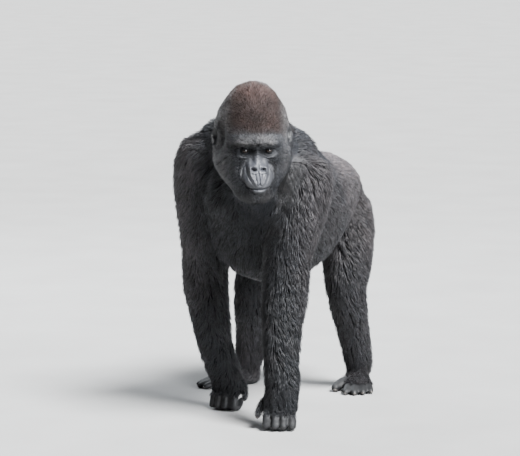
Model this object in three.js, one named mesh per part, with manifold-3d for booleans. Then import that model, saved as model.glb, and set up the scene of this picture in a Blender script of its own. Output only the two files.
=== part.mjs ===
// An adult male western lowland gorilla, life size, standing still on its knuckles and its soles.
// Millimetres, +Z up. It faces -Y, and its own left is +X. The solids reach out to the tips of the coat.
// Places are measured from the ground under the middle of the two hands; at the end the whole animal
// is moved so that the origin is on the ground under the middle of the box round it.

import * as THREE from "three";
import { mergeVertices } from "three/addons/utils/BufferGeometryUtils.js";
import Module from "manifold-3d";

const wasm = await Module();
wasm.setup();

// ---- Driving dimensions ------------------------------------------------------------------------

const GAP = 0.4; // clear space between two neighbouring parts
const SHOULDER_HEIGHT = 842; // the ball joint of the shoulder
const SHOULDER_WIDTH = 390; // from one shoulder joint to the other
const HIP_HEIGHT = 655; // the ball joint of the hip
const HIP_WIDTH = 200; // from one hip joint to the other
const BACK_HEIGHT = 978; // the top of the back over the shoulders
const RUMP_HEIGHT = 846; // the top of the back over the loins
const BELLY_HEIGHT = 424; // the lowest part of the belly
const BELLY_WIDTH = 428; // the widest part of the belly
const EYE_HEIGHT = 916;
const EYE_SPACING = 76; // from one pupil to the other
const EYE_RADIUS = 12;
const EYE_DEPTH = -16; // the middle of the eyeball, from the line through the outer corners of the lids
const HEAD_YAW = 29; // degrees that the face is turned to the animal's left
const HEAD_WIDTH = 250; // across the cheeks, with their hair
const EAR_SPAN = 230; // from the middle of one ear to the middle of the other
const EAR_HEIGHT = 66;
const EAR_BACK = 84; // the ears' middle, behind the eyes
const EAR_RISE = 38; // the ears' middle, over the eyes
const FINGER_RADIUS = 13.5;
const FINGER_PITCH = 28; // from the middle of one finger to the next
const TOE_RADIUS = 11.5;
const FOOT_LENGTH = 262;
const ANKLE_HEIGHT = 82;

const ACROSS = new THREE.Vector3(1, 0, 0);
const UP = new THREE.Vector3(0, 0, 1);
const TURN = Math.PI * 2;
const point = (x, y, z) => new THREE.Vector3(x, y, z);

// The joints of the limbs. The left hand is put forward and the right hind foot too.
const ARMS = {
  left: {
    shoulder: point(SHOULDER_WIDTH / 2 - 16, 16, SHOULDER_HEIGHT - 40),
    elbow: point(118, -40, 478),
    wrist: point(145, -106, 136),
    hand: point(141, -118, 0),
    handTurn: 12,
    bow: -2,
  },
  right: {
    shoulder: point(-SHOULDER_WIDTH / 2, 48, SHOULDER_HEIGHT),
    elbow: point(-216, 128, 466),
    wrist: point(-161, 152, 134),
    hand: point(-146, 138, 0),
    handTurn: -8,
    bow: 14,
  },
};
const LEGS = {
  left: {
    hip: point(HIP_WIDTH / 2, 636, HIP_HEIGHT),
    knee: point(132, 548, 362),
    ankle: point(136, 694, 82),
    foot: point(144, 642, 0),
    footTurn: 16,
  },
  right: {
    hip: point(-HIP_WIDTH / 2, 636, HIP_HEIGHT),
    knee: point(-164, 440, 362),
    ankle: point(-243, 604, 84),
    foot: point(-290, 556, 0),
    footTurn: -44,
  },
};

// ---- Solids ------------------------------------------------------------------------------------

// A closed geometry as a manifold-3d solid, its faces pointing out.
function solid(geometry) {
  geometry.deleteAttribute("normal");
  geometry.deleteAttribute("uv");
  const merged = mergeVertices(geometry, 1e-3);
  return new wasm.Manifold(
    new wasm.Mesh({
      numProp: 3,
      vertProperties: new Float32Array(merged.attributes.position.array),
      triVerts: new Uint32Array(merged.index.array),
    }),
  );
}

const join = (solids) => solids.reduce((whole, piece) => whole.add(piece));

// A sphere whose every point is put in a place of its own, from its angle round and its share along.
function wrapped(around, along, place) {
  const geometry = new THREE.SphereGeometry(1, around, along);
  const { position, uv } = geometry.attributes;
  for (let i = 0; i < position.count; i++) {
    const at = place(TURN * uv.getX(i), 1 - uv.getY(i));
    position.setXYZ(i, at.x, at.y, at.z);
  }
  return solid(geometry);
}

// A fleshy form: a sphere drawn out along the smooth line through its sections, which are
// [x, y, z, half width, half depth]. Its two ends are round over the shares of its length in `caps`, and
// `grow` makes it that much larger all round. Squareness under 1 makes the sections boxier. `ends` is how
// far the rings are moved towards the two ends, for a blunt tip.
function flesh(sections, options = {}) {
  const { around = 12, along = 12, grow = 0, caps = [0.16, 0.16], square = 1, ends = 0 } = options;
  const line = new THREE.CatmullRomCurve3(sections.map(([x, y, z]) => point(x, y, z)));
  const sizes = new THREE.CatmullRomCurve3(
    sections.map(([, , , w, d]) => point(w, d, 0)),
    false,
    "catmullrom",
  );
  const boxy = (share) => Math.sign(share) * Math.abs(share) ** square;
  return wrapped(around, along, (angle, share) => {
    const t = THREE.MathUtils.lerp(share, 0.5 - 0.5 * Math.cos(Math.PI * share), ends);
    const fromEnd = Math.min(t / caps[0], (1 - t) / caps[1]);
    const round = fromEnd < 1 ? Math.sqrt(1 - (1 - fromEnd) ** 2) : 1;
    const grown = grow * Math.min(1, 9 * Math.sin(Math.PI * t));
    const forward = line.getTangent(t);
    const side = ACROSS.clone().addScaledVector(forward, -ACROSS.dot(forward)).normalize();
    const over = new THREE.Vector3().crossVectors(forward, side);
    const size = sizes.getPoint(t);
    return line
      .getPoint(t)
      .addScaledVector(forward, grow * Math.sign(t - 0.5) * Math.max(0, 1 - fromEnd))
      .addScaledVector(side, boxy(-Math.cos(angle)) * (size.x * round + grown))
      .addScaledVector(over, boxy(Math.sin(angle)) * (size.y * round + grown));
  });
}

// An ellipsoid of muscle or fat. Turn is [x, y, z] in degrees.
function ball([x, y, z], [rx, ry, rz], { turn = [0, 0, 0], around = 12, along = 8, grow = 0 } = {}) {
  const angles = turn.map(THREE.MathUtils.degToRad);
  const place = new THREE.Matrix4().compose(
    point(x, y, z),
    new THREE.Quaternion().setFromEuler(new THREE.Euler(...angles)),
    point(rx + grow, ry + grow, rz + grow),
  );
  return solid(new THREE.SphereGeometry(1, around, along).rotateX(Math.PI / 2).applyMatrix4(place));
}

// Everything on the side of a plane that its normal points to, less half the gap.
function beyond(at, normal, size = 1600) {
  const facing = new THREE.Quaternion().setFromUnitVectors(UP, normal.clone().normalize());
  const place = new THREE.Matrix4().compose(at, facing, point(1, 1, 1));
  const block = new THREE.BoxGeometry(size, size, size).translate(0, 0, (size + GAP) / 2);
  return solid(block.applyMatrix4(place));
}

// Parts a form at a plane: the piece on the normal's side, and the rest.
function parted(form, at, normal) {
  return [form.intersect(beyond(at, normal)), form.intersect(beyond(at, normal.clone().negate()))];
}

// The largest piece, without the slivers that a cut can leave.
function largest(form) {
  return form.decompose().reduce((best, piece) => (piece.volume() > best.volume() ? piece : best));
}

const floor = solid(new THREE.BoxGeometry(4000, 4000, 400).translate(0, 0, -200));
const onFloor = (form) => form.subtract(floor);

// A frame turned about the vertical, with its origin at a place.
const turned = (at, degrees) =>
  new THREE.Matrix4().compose(
    at,
    new THREE.Quaternion().setFromAxisAngle(UP, THREE.MathUtils.degToRad(degrees)),
    point(1, 1, 1),
  );
const placed = (form, matrix) => form.transform(matrix.elements);

// ---- Trunk and neck ----------------------------------------------------------------------------

// Sections of the trunk: how far behind the hands, the top, the bottom, and the width as a share.
const TRUNK = [
  [-100, BACK_HEIGHT - 205, BELLY_HEIGHT + 262, 0.36],
  [-66, BACK_HEIGHT - 108, BELLY_HEIGHT + 178, 0.6],
  [20, BACK_HEIGHT - 18, BELLY_HEIGHT + 92, 0.78],
  [112, BACK_HEIGHT, BELLY_HEIGHT + 34, 0.92],
  [214, BACK_HEIGHT - 38, BELLY_HEIGHT, 0.99],
  [322, BACK_HEIGHT - 84, BELLY_HEIGHT + 30, 1],
  [432, RUMP_HEIGHT + 20, BELLY_HEIGHT + 92, 0.94],
  [540, RUMP_HEIGHT + 2, BELLY_HEIGHT + 142, 0.86],
  [640, RUMP_HEIGHT - 18, BELLY_HEIGHT + 160, 0.77],
  [708, RUMP_HEIGHT - 58, BELLY_HEIGHT + 186, 0.62],
  [752, RUMP_HEIGHT - 118, BELLY_HEIGHT + 206, 0.34],
];

const WAIST = point(0, 330, 650); // where the chest is parted from the abdomen

// The shoulder blades: the right one stands higher, over the arm that is pushed back.
const BLADES = [
  { at: [88, 92, BACK_HEIGHT - 108], size: [106, 124, 98], lean: 12 },
  { at: [-114, 88, BACK_HEIGHT - 86], size: [114, 124, 112], lean: -14 },
];

function trunkForm(grow) {
  const sections = TRUNK.map(([y, top, bottom, share]) => [
    0,
    y,
    (top + bottom) / 2,
    (share * BELLY_WIDTH) / 2,
    (top - bottom) / 2,
  ]);
  const blades = BLADES.map(({ at, size, lean }) =>
    ball(at, size, { turn: [-12, lean, 0], around: 10, along: 7, grow }),
  );
  const breasts = [-1, 1].map((side) =>
    ball([side * 70, -44, 738], [84, 58, 90], { turn: [10, 0, side * 14], around: 10, along: 6, grow }),
  );
  const buttocks = [-1, 1].map((side) =>
    ball([side * 76, 650, 652], [94, 102, 122], { turn: [14, 0, 0], around: 10, along: 6, grow }),
  );
  const barrel = flesh(sections, { around: 16, along: 12, grow, square: 0.95 });
  return join([barrel, ...blades, ...breasts, ...buttocks]);
}

function neckForm(grow) {
  const sections = [
    [-8, 150, 862, 166, 110],
    [0, 50, 900, 156, 118],
    [26, -40, 926, 128, 122],
    [52, -112, 942, 104, 122],
  ];
  const throat = ball([38, -84, 812], [80, 66, 84], { around: 8, along: 6, grow });
  return join([flesh(sections, { around: 12, along: 6, caps: [0.12, 0.12], grow }), throat]);
}

// ---- Head --------------------------------------------------------------------------------------

// The head is built round the point midway between the pupils, facing -Y, and then turned and placed.
const headPlace = turned(point(86, -189, EYE_HEIGHT), HEAD_YAW);
const NAPE = point(4, -34, 950); // where the head is parted from the neck
const FORWARD_UP = point(0.36, -0.86, 0.36); // the way the head lies from there

// Level sections of the head: the height over the eyes, the front, the back, and the width as a share.
const SKULL = [
  [213, 62, 92, 0.1],
  [204, 38, 120, 0.36],
  [184, 14, 148, 0.56],
  [158, 0, 168, 0.72],
  [124, -14, 188, 0.88],
  [86, -26, 204, 0.97],
  [42, -32, 212, 1],
  [2, -26, 206, 1],
  [-32, -26, 194, 0.99],
  [-62, -34, 178, 0.92],
  [-92, -44, 156, 0.81],
  [-122, -50, 132, 0.67],
  [-148, -42, 104, 0.53],
  [-166, -22, 76, 0.34],
  [-175, 10, 44, 0.1],
];

// Swellings and hollows of the head: the middle, how far each reaches, and how far it moves the skin
// there. Each one off the midline is on both sides.
const FEATURES = [
  { name: "brow", at: [0, -30, 42], reach: [32, 60, 17], move: [0, -13, 0] },
  { name: "brow over the eye", at: [46, -14, 40], reach: [34, 60, 17], move: [2, -21, -2] },
  { name: "forehead", at: [0, -20, 106], reach: [54, 60, 30], move: [0, -9, 0] },
  { name: "under the brow", at: [38, -20, 12], reach: [22, 40, 9], move: [0, 6, 0] },
  { name: "bag under the eye", at: [38, -20, -16], reach: [22, 40, 7], move: [0, -5, 0] },
  { name: "cheekbone", at: [62, 0, -22], reach: [24, 40, 15], move: [6, -10, 0] },
  { name: "bridge", at: [0, -26, -8], reach: [13, 40, 24], move: [0, -14, 0] },
  { name: "ridge of the nose", at: [0, -30, -34], reach: [15, 40, 15], move: [0, -16, 0] },
  { name: "tip of the nose", at: [0, -40, -53], reach: [16, 50, 12], move: [0, -25, 0] },
  { name: "nostril wing", at: [25, -36, -57], reach: [11, 50, 16], move: [2, -22, 0] },
  { name: "beside the nose", at: [48, -26, -48], reach: [14, 40, 22], move: [0, 8, 0] },
  { name: "muzzle", at: [0, -44, -97], reach: [46, 70, 30], move: [0, -40, 0] },
  { name: "mouth", at: [0, -50, -118], reach: [38, 60, 7], move: [0, 8, 0] },
  { name: "chin", at: [0, -42, -141], reach: [38, 60, 21], move: [0, -23, -2] },
  { name: "temple before the ear", at: [112, 48, 36], reach: [40, 32, 40], move: [-17, 0, 0] },
  { name: "whiskers", at: [112, 60, -50], reach: [40, 46, 30], move: [5, 0, 0] },
];

// A share from 0 to 1, moved so that more points fall near a place on the way.
function crowded(share, place, strength) {
  const wave = (s) => Math.sin(TURN * (s - place));
  return share - (strength / TURN) * (wave(share) - wave(0));
}

function headForm(grow) {
  const heights = new THREE.CatmullRomCurve3(SKULL.map(([z, front, back]) => point(front, back, z)));
  const widths = new THREE.CatmullRomCurve3(
    SKULL.map(([, , , share]) => point((share * HEAD_WIDTH) / 2, 0, 0)),
  );
  const mirror = ([x, y, z]) => [-x, y, z];
  const bothSides = FEATURES.flatMap((feature) => {
    const { at, reach, move } = feature;
    return at[0] === 0 ? [feature] : [feature, { at: mirror(at), reach, move: mirror(move) }];
  });
  return wrapped(28, 26, (angle, t) => {
    const along = crowded(t, 0.56, 0.4);
    const turn = TURN * crowded(angle / TURN, 0.25, 0.6);
    const { x: front, y: back, z } = heights.getPoint(along);
    const pole = Math.min(1, Math.sin(Math.PI * t) * 5);
    const round = Math.min(1, Math.min(t, 1 - t) * 1e6);
    const halfWidth = round * (widths.getPoint(along).x + grow * pole);
    const halfDepth = round * ((back - front) / 2 + grow * pole);
    const at = point(-Math.cos(turn) * halfWidth, (front + back) / 2 - Math.sin(turn) * halfDepth, z);
    at.z += grow * Math.sign(0.5 - t) * (1 - pole);
    const skin = at.clone();
    for (const feature of bothSides) {
      const [dx, dy, dz] = ["x", "y", "z"].map((axis, i) => (at[axis] - feature.at[i]) / feature.reach[i]);
      skin.addScaledVector(point(...feature.move), Math.exp(-dx * dx - dy * dy - dz * dz));
    }
    return skin;
  });
}

function eyeball(side, grow = 0) {
  const sizes = [EYE_RADIUS, EYE_RADIUS, EYE_RADIUS];
  return ball([(side * EYE_SPACING) / 2, EYE_DEPTH, 0], sizes, { around: 8, along: 5, grow });
}

// An ear: a small rounded shell with a hollow that looks forwards and out.
function earForm(side, grow = 0) {
  const turn = [-6, 0, side * 38];
  const at = [(side * EAR_SPAN) / 2, EAR_BACK, EAR_RISE];
  const shell = ball(at, [21, 9, EAR_HEIGHT / 2], { turn, around: 9, along: 6, grow });
  if (grow) return shell;
  const hollow = ball([at[0] + side * 6, at[1] - 8, at[2] + 3], [14, 8, 23], { turn, around: 7, along: 5 });
  return shell.subtract(hollow);
}

// ---- Limbs -------------------------------------------------------------------------------------

// A section of a limb: a share of the way between two joints, moved out and back, and its two half sizes.
const onLimb = (from, to, share, out, back, halfWidth, halfDepth) => {
  const at = from.clone().lerp(to, share);
  return [at.x + out, at.y + back, at.z, halfWidth, halfDepth];
};

function armForm(side, { shoulder, elbow, wrist, bow }) {
  const upper = (share, out, back, ...sizes) => onLimb(shoulder, elbow, share, side * out, back, ...sizes);
  const lower = (share, out, back, ...sizes) => onLimb(elbow, wrist, share, side * out, back, ...sizes);
  const sections = [
    upper(-0.3, -14, 4, 72, 80),
    upper(-0.14, -4, 4, 92, 98),
    upper(0.06, 2, 2, 96, 101),
    upper(0.3, 4, 0, 92, 97),
    upper(0.56, 2, -2, 85, 87),
    upper(0.82, 1, 4, 79, 79),
    upper(1, 8, 16, 80, 82),
    lower(0.16, 8 + bow * 0.5, 16, 79, 80),
    lower(0.42, bow, 4, 70, 66),
    lower(0.7, bow, 0, 63, 58),
    lower(0.9, bow * 0.4, 0, 60, 50),
    lower(1.04, 0, 4, 57, 43),
    lower(1.18, 0, 12, 46, 30),
  ];
  return flesh(sections, { around: 12, along: 15, caps: [0.13, 0.07] });
}

function legForm(side, { hip, knee, ankle }) {
  const upper = (share, out, back, ...sizes) => onLimb(hip, knee, share, side * out, back, ...sizes);
  const lower = (share, out, back, ...sizes) => onLimb(knee, ankle, share, side * out, back, ...sizes);
  const sections = [
    upper(-0.22, 0, 10, 66, 78),
    upper(0.05, 8, 4, 92, 116),
    upper(0.35, 8, 6, 94, 116),
    upper(0.7, 6, 8, 86, 96),
    upper(1, 2, 4, 72, 76),
    lower(0.3, 0, 8, 64, 69),
    lower(0.62, 0, 7, 56, 59),
    lower(0.9, 0, 2, 50, 51),
    lower(1.06, 0, -10, 42, 48),
    lower(1.24, 0, -40, 34, 44),
  ];
  return flesh(sections, { around: 12, along: 12, caps: [0.12, 0.05] });
}

// ---- Hands and feet ----------------------------------------------------------------------------

// Fingers 2 to 5, bent so that the backs of their middle bones lie on the ground.
const FINGERS = [
  { name: "index", row: -1.5, reach: -2, size: 1 },
  { name: "middle", row: -0.5, reach: -7, size: 1.03 },
  { name: "ring", row: 0.5, reach: -5, size: 1.01 },
  { name: "little", row: 1.5, reach: 4, size: 0.92 },
];

function fingerForm(side, { row, reach, size }) {
  const x = side * row * FINGER_PITCH;
  const radius = FINGER_RADIUS * size;
  const low = radius - 1.6;
  const sections = [
    [x * 0.97, 10, 86, radius, radius],
    [x, -14 + reach, 50, radius, radius],
    [x, -27 + reach, low + 5, radius, radius * 1.08],
    [x * 0.99, 6 + reach, low, radius * 0.98, radius],
    [x * 0.98, 28 + reach, low + 12, radius * 0.9, radius * 0.88],
    [x * 0.97, 30 + reach, low + 32, radius * 0.8, radius * 0.7],
  ];
  return onFloor(flesh(sections, { around: 7, along: 7, caps: [0.12, 0.12], ends: 0.7 }));
}

const thumbForm = (side) =>
  flesh(
    [
      [side * -50, 26, 104, 13, 14],
      [side * -66, 14, 78, 13, 14],
      [side * -73, 2, 52, 11.5, 12],
      [side * -72, -8, 32, 9.5, 9],
    ],
    { around: 6, along: 5, caps: [0.2, 0.2], ends: 0.7 },
  );

const palmForm = (side, grow = 0) =>
  flesh(
    [
      [side * 6, 6, 158, 48, 36],
      [side * 5, 8, 128, 55, 40],
      [side * 2, 9, 98, 60, 38],
      [0, 9, 70, 62, 31],
      [0, 10, 46, 56, 22],
    ],
    { around: 10, along: 6, grow, ends: 0.4 },
  );

// Toes, from the foot's middle: where each starts and ends.
const HEEL = FOOT_LENGTH * 0.44;
const TOES = [
  { name: "second", from: [-26, -54], to: [-33, -128], size: 1.08 },
  { name: "third", from: [0, -58], to: [-2, -136], size: 1.08 },
  { name: "fourth", from: [25, -52], to: [29, -126], size: 1.02 },
  { name: "fifth", from: [47, -38], to: [56, -104], size: 0.94 },
];

function toeForm(side, { from, to, size }) {
  const radius = TOE_RADIUS * size;
  const at = (share, height, thick) => [
    side * THREE.MathUtils.lerp(from[0], to[0], share),
    THREE.MathUtils.lerp(from[1], to[1], share),
    height,
    radius * thick,
    radius * thick,
  ];
  const sections = [at(0, 22, 1.05), at(0.4, 19, 1.05), at(0.72, 11, 1.02), at(1, 8.6, 0.94)];
  return onFloor(flesh(sections, { around: 6, along: 5, caps: [0.2, 0.2], ends: 0.7 }));
}

const bigToeForm = (side) =>
  onFloor(
    flesh(
      [
        [side * -30, 12, 28, 19, 20],
        [side * -50, -16, 24, 19, 20],
        [side * -66, -46, 16, 17, 17],
        [side * -76, -76, 12, 16, 14.4],
      ],
      { around: 8, along: 6, caps: [0.22, 0.22], ends: 0.8 },
    ),
  );

const soleForm = (side, grow = 0) =>
  onFloor(
    flesh(
      [
        [side * -2, HEEL - 4, 34, 26, 30],
        [0, HEEL - 34, 36, 37, 38],
        [0, 40, 36, 42, 38],
        [side * 4, -12, 26, 51, 31],
        [side * 7, -48, 20, 55, 24],
        [side * 8, -74, 15, 40, 16],
      ],
      { around: 10, along: 7, grow, caps: [0.14, 0.12], ends: 0.4 },
    ),
  );

// ---- Assembly ----------------------------------------------------------------------------------

const surface = (name, color, roughness) =>
  new THREE.MeshStandardMaterial({ name, color, roughness, metalness: 0 });
const coat = surface("coat", 0x242124, 0.75);
const crown = surface("crown", 0x33231f, 0.75);
const bareSkin = surface("bare_skin", 0x1d1c20, 0.5);
const eye = surface("eye", 0x2a160b, 0.08);

// A solid as a named mesh that holds its shape round its own middle and stands at its own place.
function part(name, form, material) {
  const { numProp, numVert, vertProperties, triVerts } = largest(form).getMesh();
  const places = new Float32Array(numVert * 3);
  for (let i = 0; i < numVert; i++) places.set(vertProperties.subarray(i * numProp, i * numProp + 3), i * 3);
  const geometry = new THREE.BufferGeometry();
  geometry.setAttribute("position", new THREE.BufferAttribute(places, 3));
  geometry.setIndex(new THREE.BufferAttribute(triVerts, 1));
  geometry.computeBoundingBox();
  const middle = geometry.boundingBox.getCenter(point(0, 0, 0));
  geometry.translate(-middle.x, -middle.y, -middle.z);
  geometry.computeVertexNormals();
  const mesh = new THREE.Mesh(geometry, material);
  mesh.name = name;
  mesh.position.copy(middle);
  return mesh;
}

const SIDES = [
  { side: 1, end: "_left" },
  { side: -1, end: "_right" },
];
const gorilla = new THREE.Group();

const trunkRoom = trunkForm(GAP);
const neckRoom = neckForm(GAP);
const headRoom = placed(headForm(GAP), headPlace);

let skull = headForm(0);
const head = new THREE.Group();
for (const { side, end } of SIDES) {
  skull = skull.subtract(eyeball(side, GAP)).subtract(earForm(side, GAP));
  head.add(part("ear" + end, placed(earForm(side), headPlace), bareSkin));
  head.add(part("eye" + end, placed(eyeball(side), headPlace), eye));
}
const [cranium, neck] = parted(
  join([placed(skull, headPlace), neckForm(0)]).subtract(trunkRoom),
  NAPE,
  FORWARD_UP,
);
head.add(part("head", cranium, crown));

const body = new THREE.Group();
const [abdomen, chest] = parted(trunkForm(0), WAIST, point(0, 1, 0.1));
body.add(part("chest", chest, coat), part("abdomen", abdomen, coat), part("neck", neck, coat));
gorilla.add(body, head);

for (const { side, end } of SIDES) {
  const joints = end === "_left" ? ARMS.left : ARMS.right;
  const forearmLine = joints.wrist.clone().sub(joints.elbow);
  const whole = armForm(side, joints).subtract(trunkRoom).subtract(neckRoom).subtract(headRoom);
  const [lower, upperArm] = parted(whole, joints.elbow, forearmLine);
  const [wrist, forearm] = parted(lower, joints.wrist, forearmLine);
  const handPlace = turned(joints.hand, joints.handTurn);
  const hand = join([wrist, placed(palmForm(side), handPlace).intersect(beyond(joints.wrist, forearmLine))]);
  const handRoom = join([wrist, placed(palmForm(side, GAP), handPlace)]);
  const limb = new THREE.Group();
  limb.add(part("upper_arm" + end, upperArm, coat), part("forearm" + end, forearm, coat));
  limb.add(part("hand" + end, hand, coat));
  let taken = handRoom;
  for (const finger of FINGERS) {
    const form = placed(fingerForm(side, finger), handPlace);
    limb.add(part(finger.name + "_finger" + end, form.subtract(handRoom), bareSkin));
    taken = join([taken, form]);
  }
  limb.add(part("thumb" + end, placed(thumbForm(side), handPlace).subtract(taken), bareSkin));
  gorilla.add(limb);
}

for (const { side, end } of SIDES) {
  const joints = end === "_left" ? LEGS.left : LEGS.right;
  const whole = legForm(side, joints).subtract(trunkRoom);
  const [calf, thigh] = parted(whole, joints.knee, joints.ankle.clone().sub(joints.hip));
  const [shank, ankle] = parted(calf, point(0, 0, ANKLE_HEIGHT), UP);
  const footPlace = turned(joints.foot, joints.footTurn);
  const [, sole] = parted(placed(soleForm(side), footPlace), point(0, 0, ANKLE_HEIGHT), UP);
  const foot = join([ankle, sole]);
  const soleRoom = placed(soleForm(side, GAP), footPlace);
  const limb = new THREE.Group();
  limb.add(part("thigh" + end, thigh, coat), part("shank" + end, shank, coat));
  limb.add(part("foot" + end, foot.subtract(floor), bareSkin));
  for (const toe of TOES) {
    const form = placed(toeForm(side, toe), footPlace).subtract(soleRoom);
    limb.add(part(toe.name + "_toe" + end, form, bareSkin));
  }
  limb.add(part("big_toe" + end, placed(bigToeForm(side), footPlace).subtract(soleRoom), bareSkin));
  gorilla.add(limb);
}

// The origin: on the ground, under the middle of the box round the animal.
gorilla.updateMatrixWorld(true);
const box = new THREE.Box3().setFromObject(gorilla, true);
const middle = box.getCenter(point(0, 0, 0));
gorilla.position.set(-middle.x, -middle.y, -box.min.z);

export default gorilla;
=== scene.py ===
import math

import bmesh
import bpy
import numpy as np
from bpy.props import FloatProperty, FloatVectorProperty, IntProperty, PointerProperty
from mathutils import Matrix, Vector, kdtree
from mathutils.bvhtree import BVHTree


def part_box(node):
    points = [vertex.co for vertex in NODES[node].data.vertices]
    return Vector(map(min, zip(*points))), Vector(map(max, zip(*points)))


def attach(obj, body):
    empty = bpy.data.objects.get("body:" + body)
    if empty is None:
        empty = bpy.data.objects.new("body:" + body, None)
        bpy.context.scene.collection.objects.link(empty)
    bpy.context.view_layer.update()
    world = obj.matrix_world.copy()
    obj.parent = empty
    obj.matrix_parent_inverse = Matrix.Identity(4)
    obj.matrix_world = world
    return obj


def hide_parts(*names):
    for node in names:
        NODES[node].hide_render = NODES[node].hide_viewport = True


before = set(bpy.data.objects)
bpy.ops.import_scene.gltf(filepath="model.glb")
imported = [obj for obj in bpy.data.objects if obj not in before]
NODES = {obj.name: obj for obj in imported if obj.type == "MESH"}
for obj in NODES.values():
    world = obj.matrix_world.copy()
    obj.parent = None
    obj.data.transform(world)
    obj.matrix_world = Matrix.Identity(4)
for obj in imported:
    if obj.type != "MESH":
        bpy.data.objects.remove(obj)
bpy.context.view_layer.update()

bl_info = {
    "name": "Gorilla, standing on its knuckles",
    "version": (1, 0, 0),
    "blender": (4, 5, 0),
    "location": "View3D > Sidebar > Gorilla",
    "description": "Skin, eyes, nails and coat of a life-size gorilla, with its studio",
    "category": "Add Mesh",
}

MM = 0.001
SIDES = (("left", 1), ("right", -1))
DIGITS = ("index_finger", "middle_finger", "ring_finger", "little_finger")
TOES = ("second_toe", "third_toe", "fourth_toe", "fifth_toe", "big_toe")
SEED = 11


# ---- Places that the frame gives -----------------------------------------------------------------

def middle(node):
    """The middle of a node's box."""
    low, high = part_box(node)
    return np.array((low + high) / 2)


def mesh_points(mesh):
    """The vertices of a mesh as an array."""
    flat = np.empty(len(mesh.vertices) * 3, np.float32)
    mesh.vertices.foreach_get("co", flat)
    return flat.reshape(-1, 3).astype(np.float64)


def ends_of(node):
    """The middles of the top and the bottom of an upright node."""
    points = mesh_points(NODES[node].data)
    height = points[:, 2]
    margin = 0.2 * np.ptp(height)
    top = points[height > height.max() - margin].mean(0)
    bottom = points[height < height.min() + margin].mean(0)
    return top, bottom


EYES = {name: middle("eye_" + name) for name, _ in SIDES}
EYE_RADIUS = float(np.ptp(mesh_points(NODES["eye_left"].data)[:, 2])) / 2
ACROSS = EYES["left"] - EYES["right"]
ACROSS = ACROSS / np.linalg.norm(ACROSS)
BACK = np.array((-ACROSS[1], ACROSS[0], 0.0))
UP = np.array((0.0, 0.0, 1.0))
HEAD_AXES = np.stack((ACROSS, BACK, UP))
EYE_DEPTH = -16.0  # the eyeballs' middles, in front of the head's own origin
EYE_ACROSS = float(np.linalg.norm(EYES["left"] - EYES["right"])) / MM / 2
HEAD_ORIGIN = (EYES["left"] + EYES["right"]) / 2 - BACK * EYE_DEPTH * MM


def head_places(points):
    """Points in the head's own frame: millimetres to its left, behind it and over the eyes."""
    return (points - HEAD_ORIGIN) @ HEAD_AXES.T / MM


# ---- Smooth shapes -------------------------------------------------------------------------------

def step(low, high, values):
    """0 below low, 1 above high, and a smooth way between them."""
    share = np.clip((values - low) / (high - low), 0, 1)
    return share * share * (3 - 2 * share)


def hill(places, middle_at, reach):
    """A smooth hill of height 1 round a place."""
    away = (places - np.array(middle_at)) / np.array(reach)
    return np.exp(-(away ** 2).sum(1))


def line_distance(flat, route):
    """How far each flat point is from a route of straight stretches, and the share of the way along."""
    best = np.full(len(flat), 1e9)
    share = np.zeros(len(flat))
    stretches = len(route) - 1
    for i in range(stretches):
        start, end = np.array(route[i], float), np.array(route[i + 1], float)
        way = end - start
        t = np.clip(((flat - start) @ way) / (way @ way), 0, 1)
        away = np.linalg.norm(flat - start - t[:, None] * way, axis=1)
        nearer = away < best
        best = np.where(nearer, away, best)
        share = np.where(nearer, (i + t) / stretches, share)
    return best, share


def unit(vectors):
    """Vectors made one long."""
    return vectors / np.maximum(np.linalg.norm(vectors, axis=1, keepdims=True), 1e-12)


def waves(points, size, seed, count=7):
    """Smooth noise from -1 to 1: a sum of waves in seeded directions, about `size` from hill to hill."""
    draw = np.random.default_rng(seed)
    total = np.zeros(len(points))
    for _ in range(count):
        way = draw.normal(size=3)
        way *= 2 * math.pi / size / np.linalg.norm(way) * draw.uniform(0.6, 1.5)
        total += np.sin(points @ way + draw.uniform(0, 2 * math.pi))
    return total / math.sqrt(count / 2) / 1.6


# ---- The places of the hair and the bare skin ----------------------------------------------------

EAR_MIDDLES = {name: head_places(middle("ear_" + name)[None])[0] for name, _ in SIDES}
WRIST_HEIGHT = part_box("hand_left")[1].z
ANKLE_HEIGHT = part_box("foot_left")[1].z
BODY_MIDLINE = middle("abdomen")[0]
HEAD_MIDDLE = (0.0, 40.0, 15.0)  # of the egg shape round the head, in millimetres of its own frame
HEAD_REACH = (170.0, 185.0, 240.0)  # half that shape's width, length and height
HEAD_HAIR = 10.0  # millimetres, before what each place adds or takes away
BODY_HAIR = 44.0
COAT_SHARE = 0.25  # of the hair's length: how far the skin lies under the solids
FLOOR_GAP = 0.0002  # how far over the floor the lowest skin is, in metres


def head_share(points):
    """1 on the head and 0 on the body, with a smooth way between them at the nape and the throat."""
    away = (head_places(points) - np.array(HEAD_MIDDLE)) / np.array(HEAD_REACH)
    return 1 - step(0.9, 1.08, np.sqrt((away ** 2).sum(1)))


def ear_share(points):
    """1 on the two ears."""
    places = head_places(points)
    share = np.zeros(len(points))
    for name, side in SIDES:
        ear = EAR_MIDDLES[name]
        near = 1 - step(26, 38, np.linalg.norm((places - ear) * np.array((0.9, 1.1, 0.85)), axis=1))
        share = np.maximum(share, near * step(100, 110, side * places[:, 0]))
    return share


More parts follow.
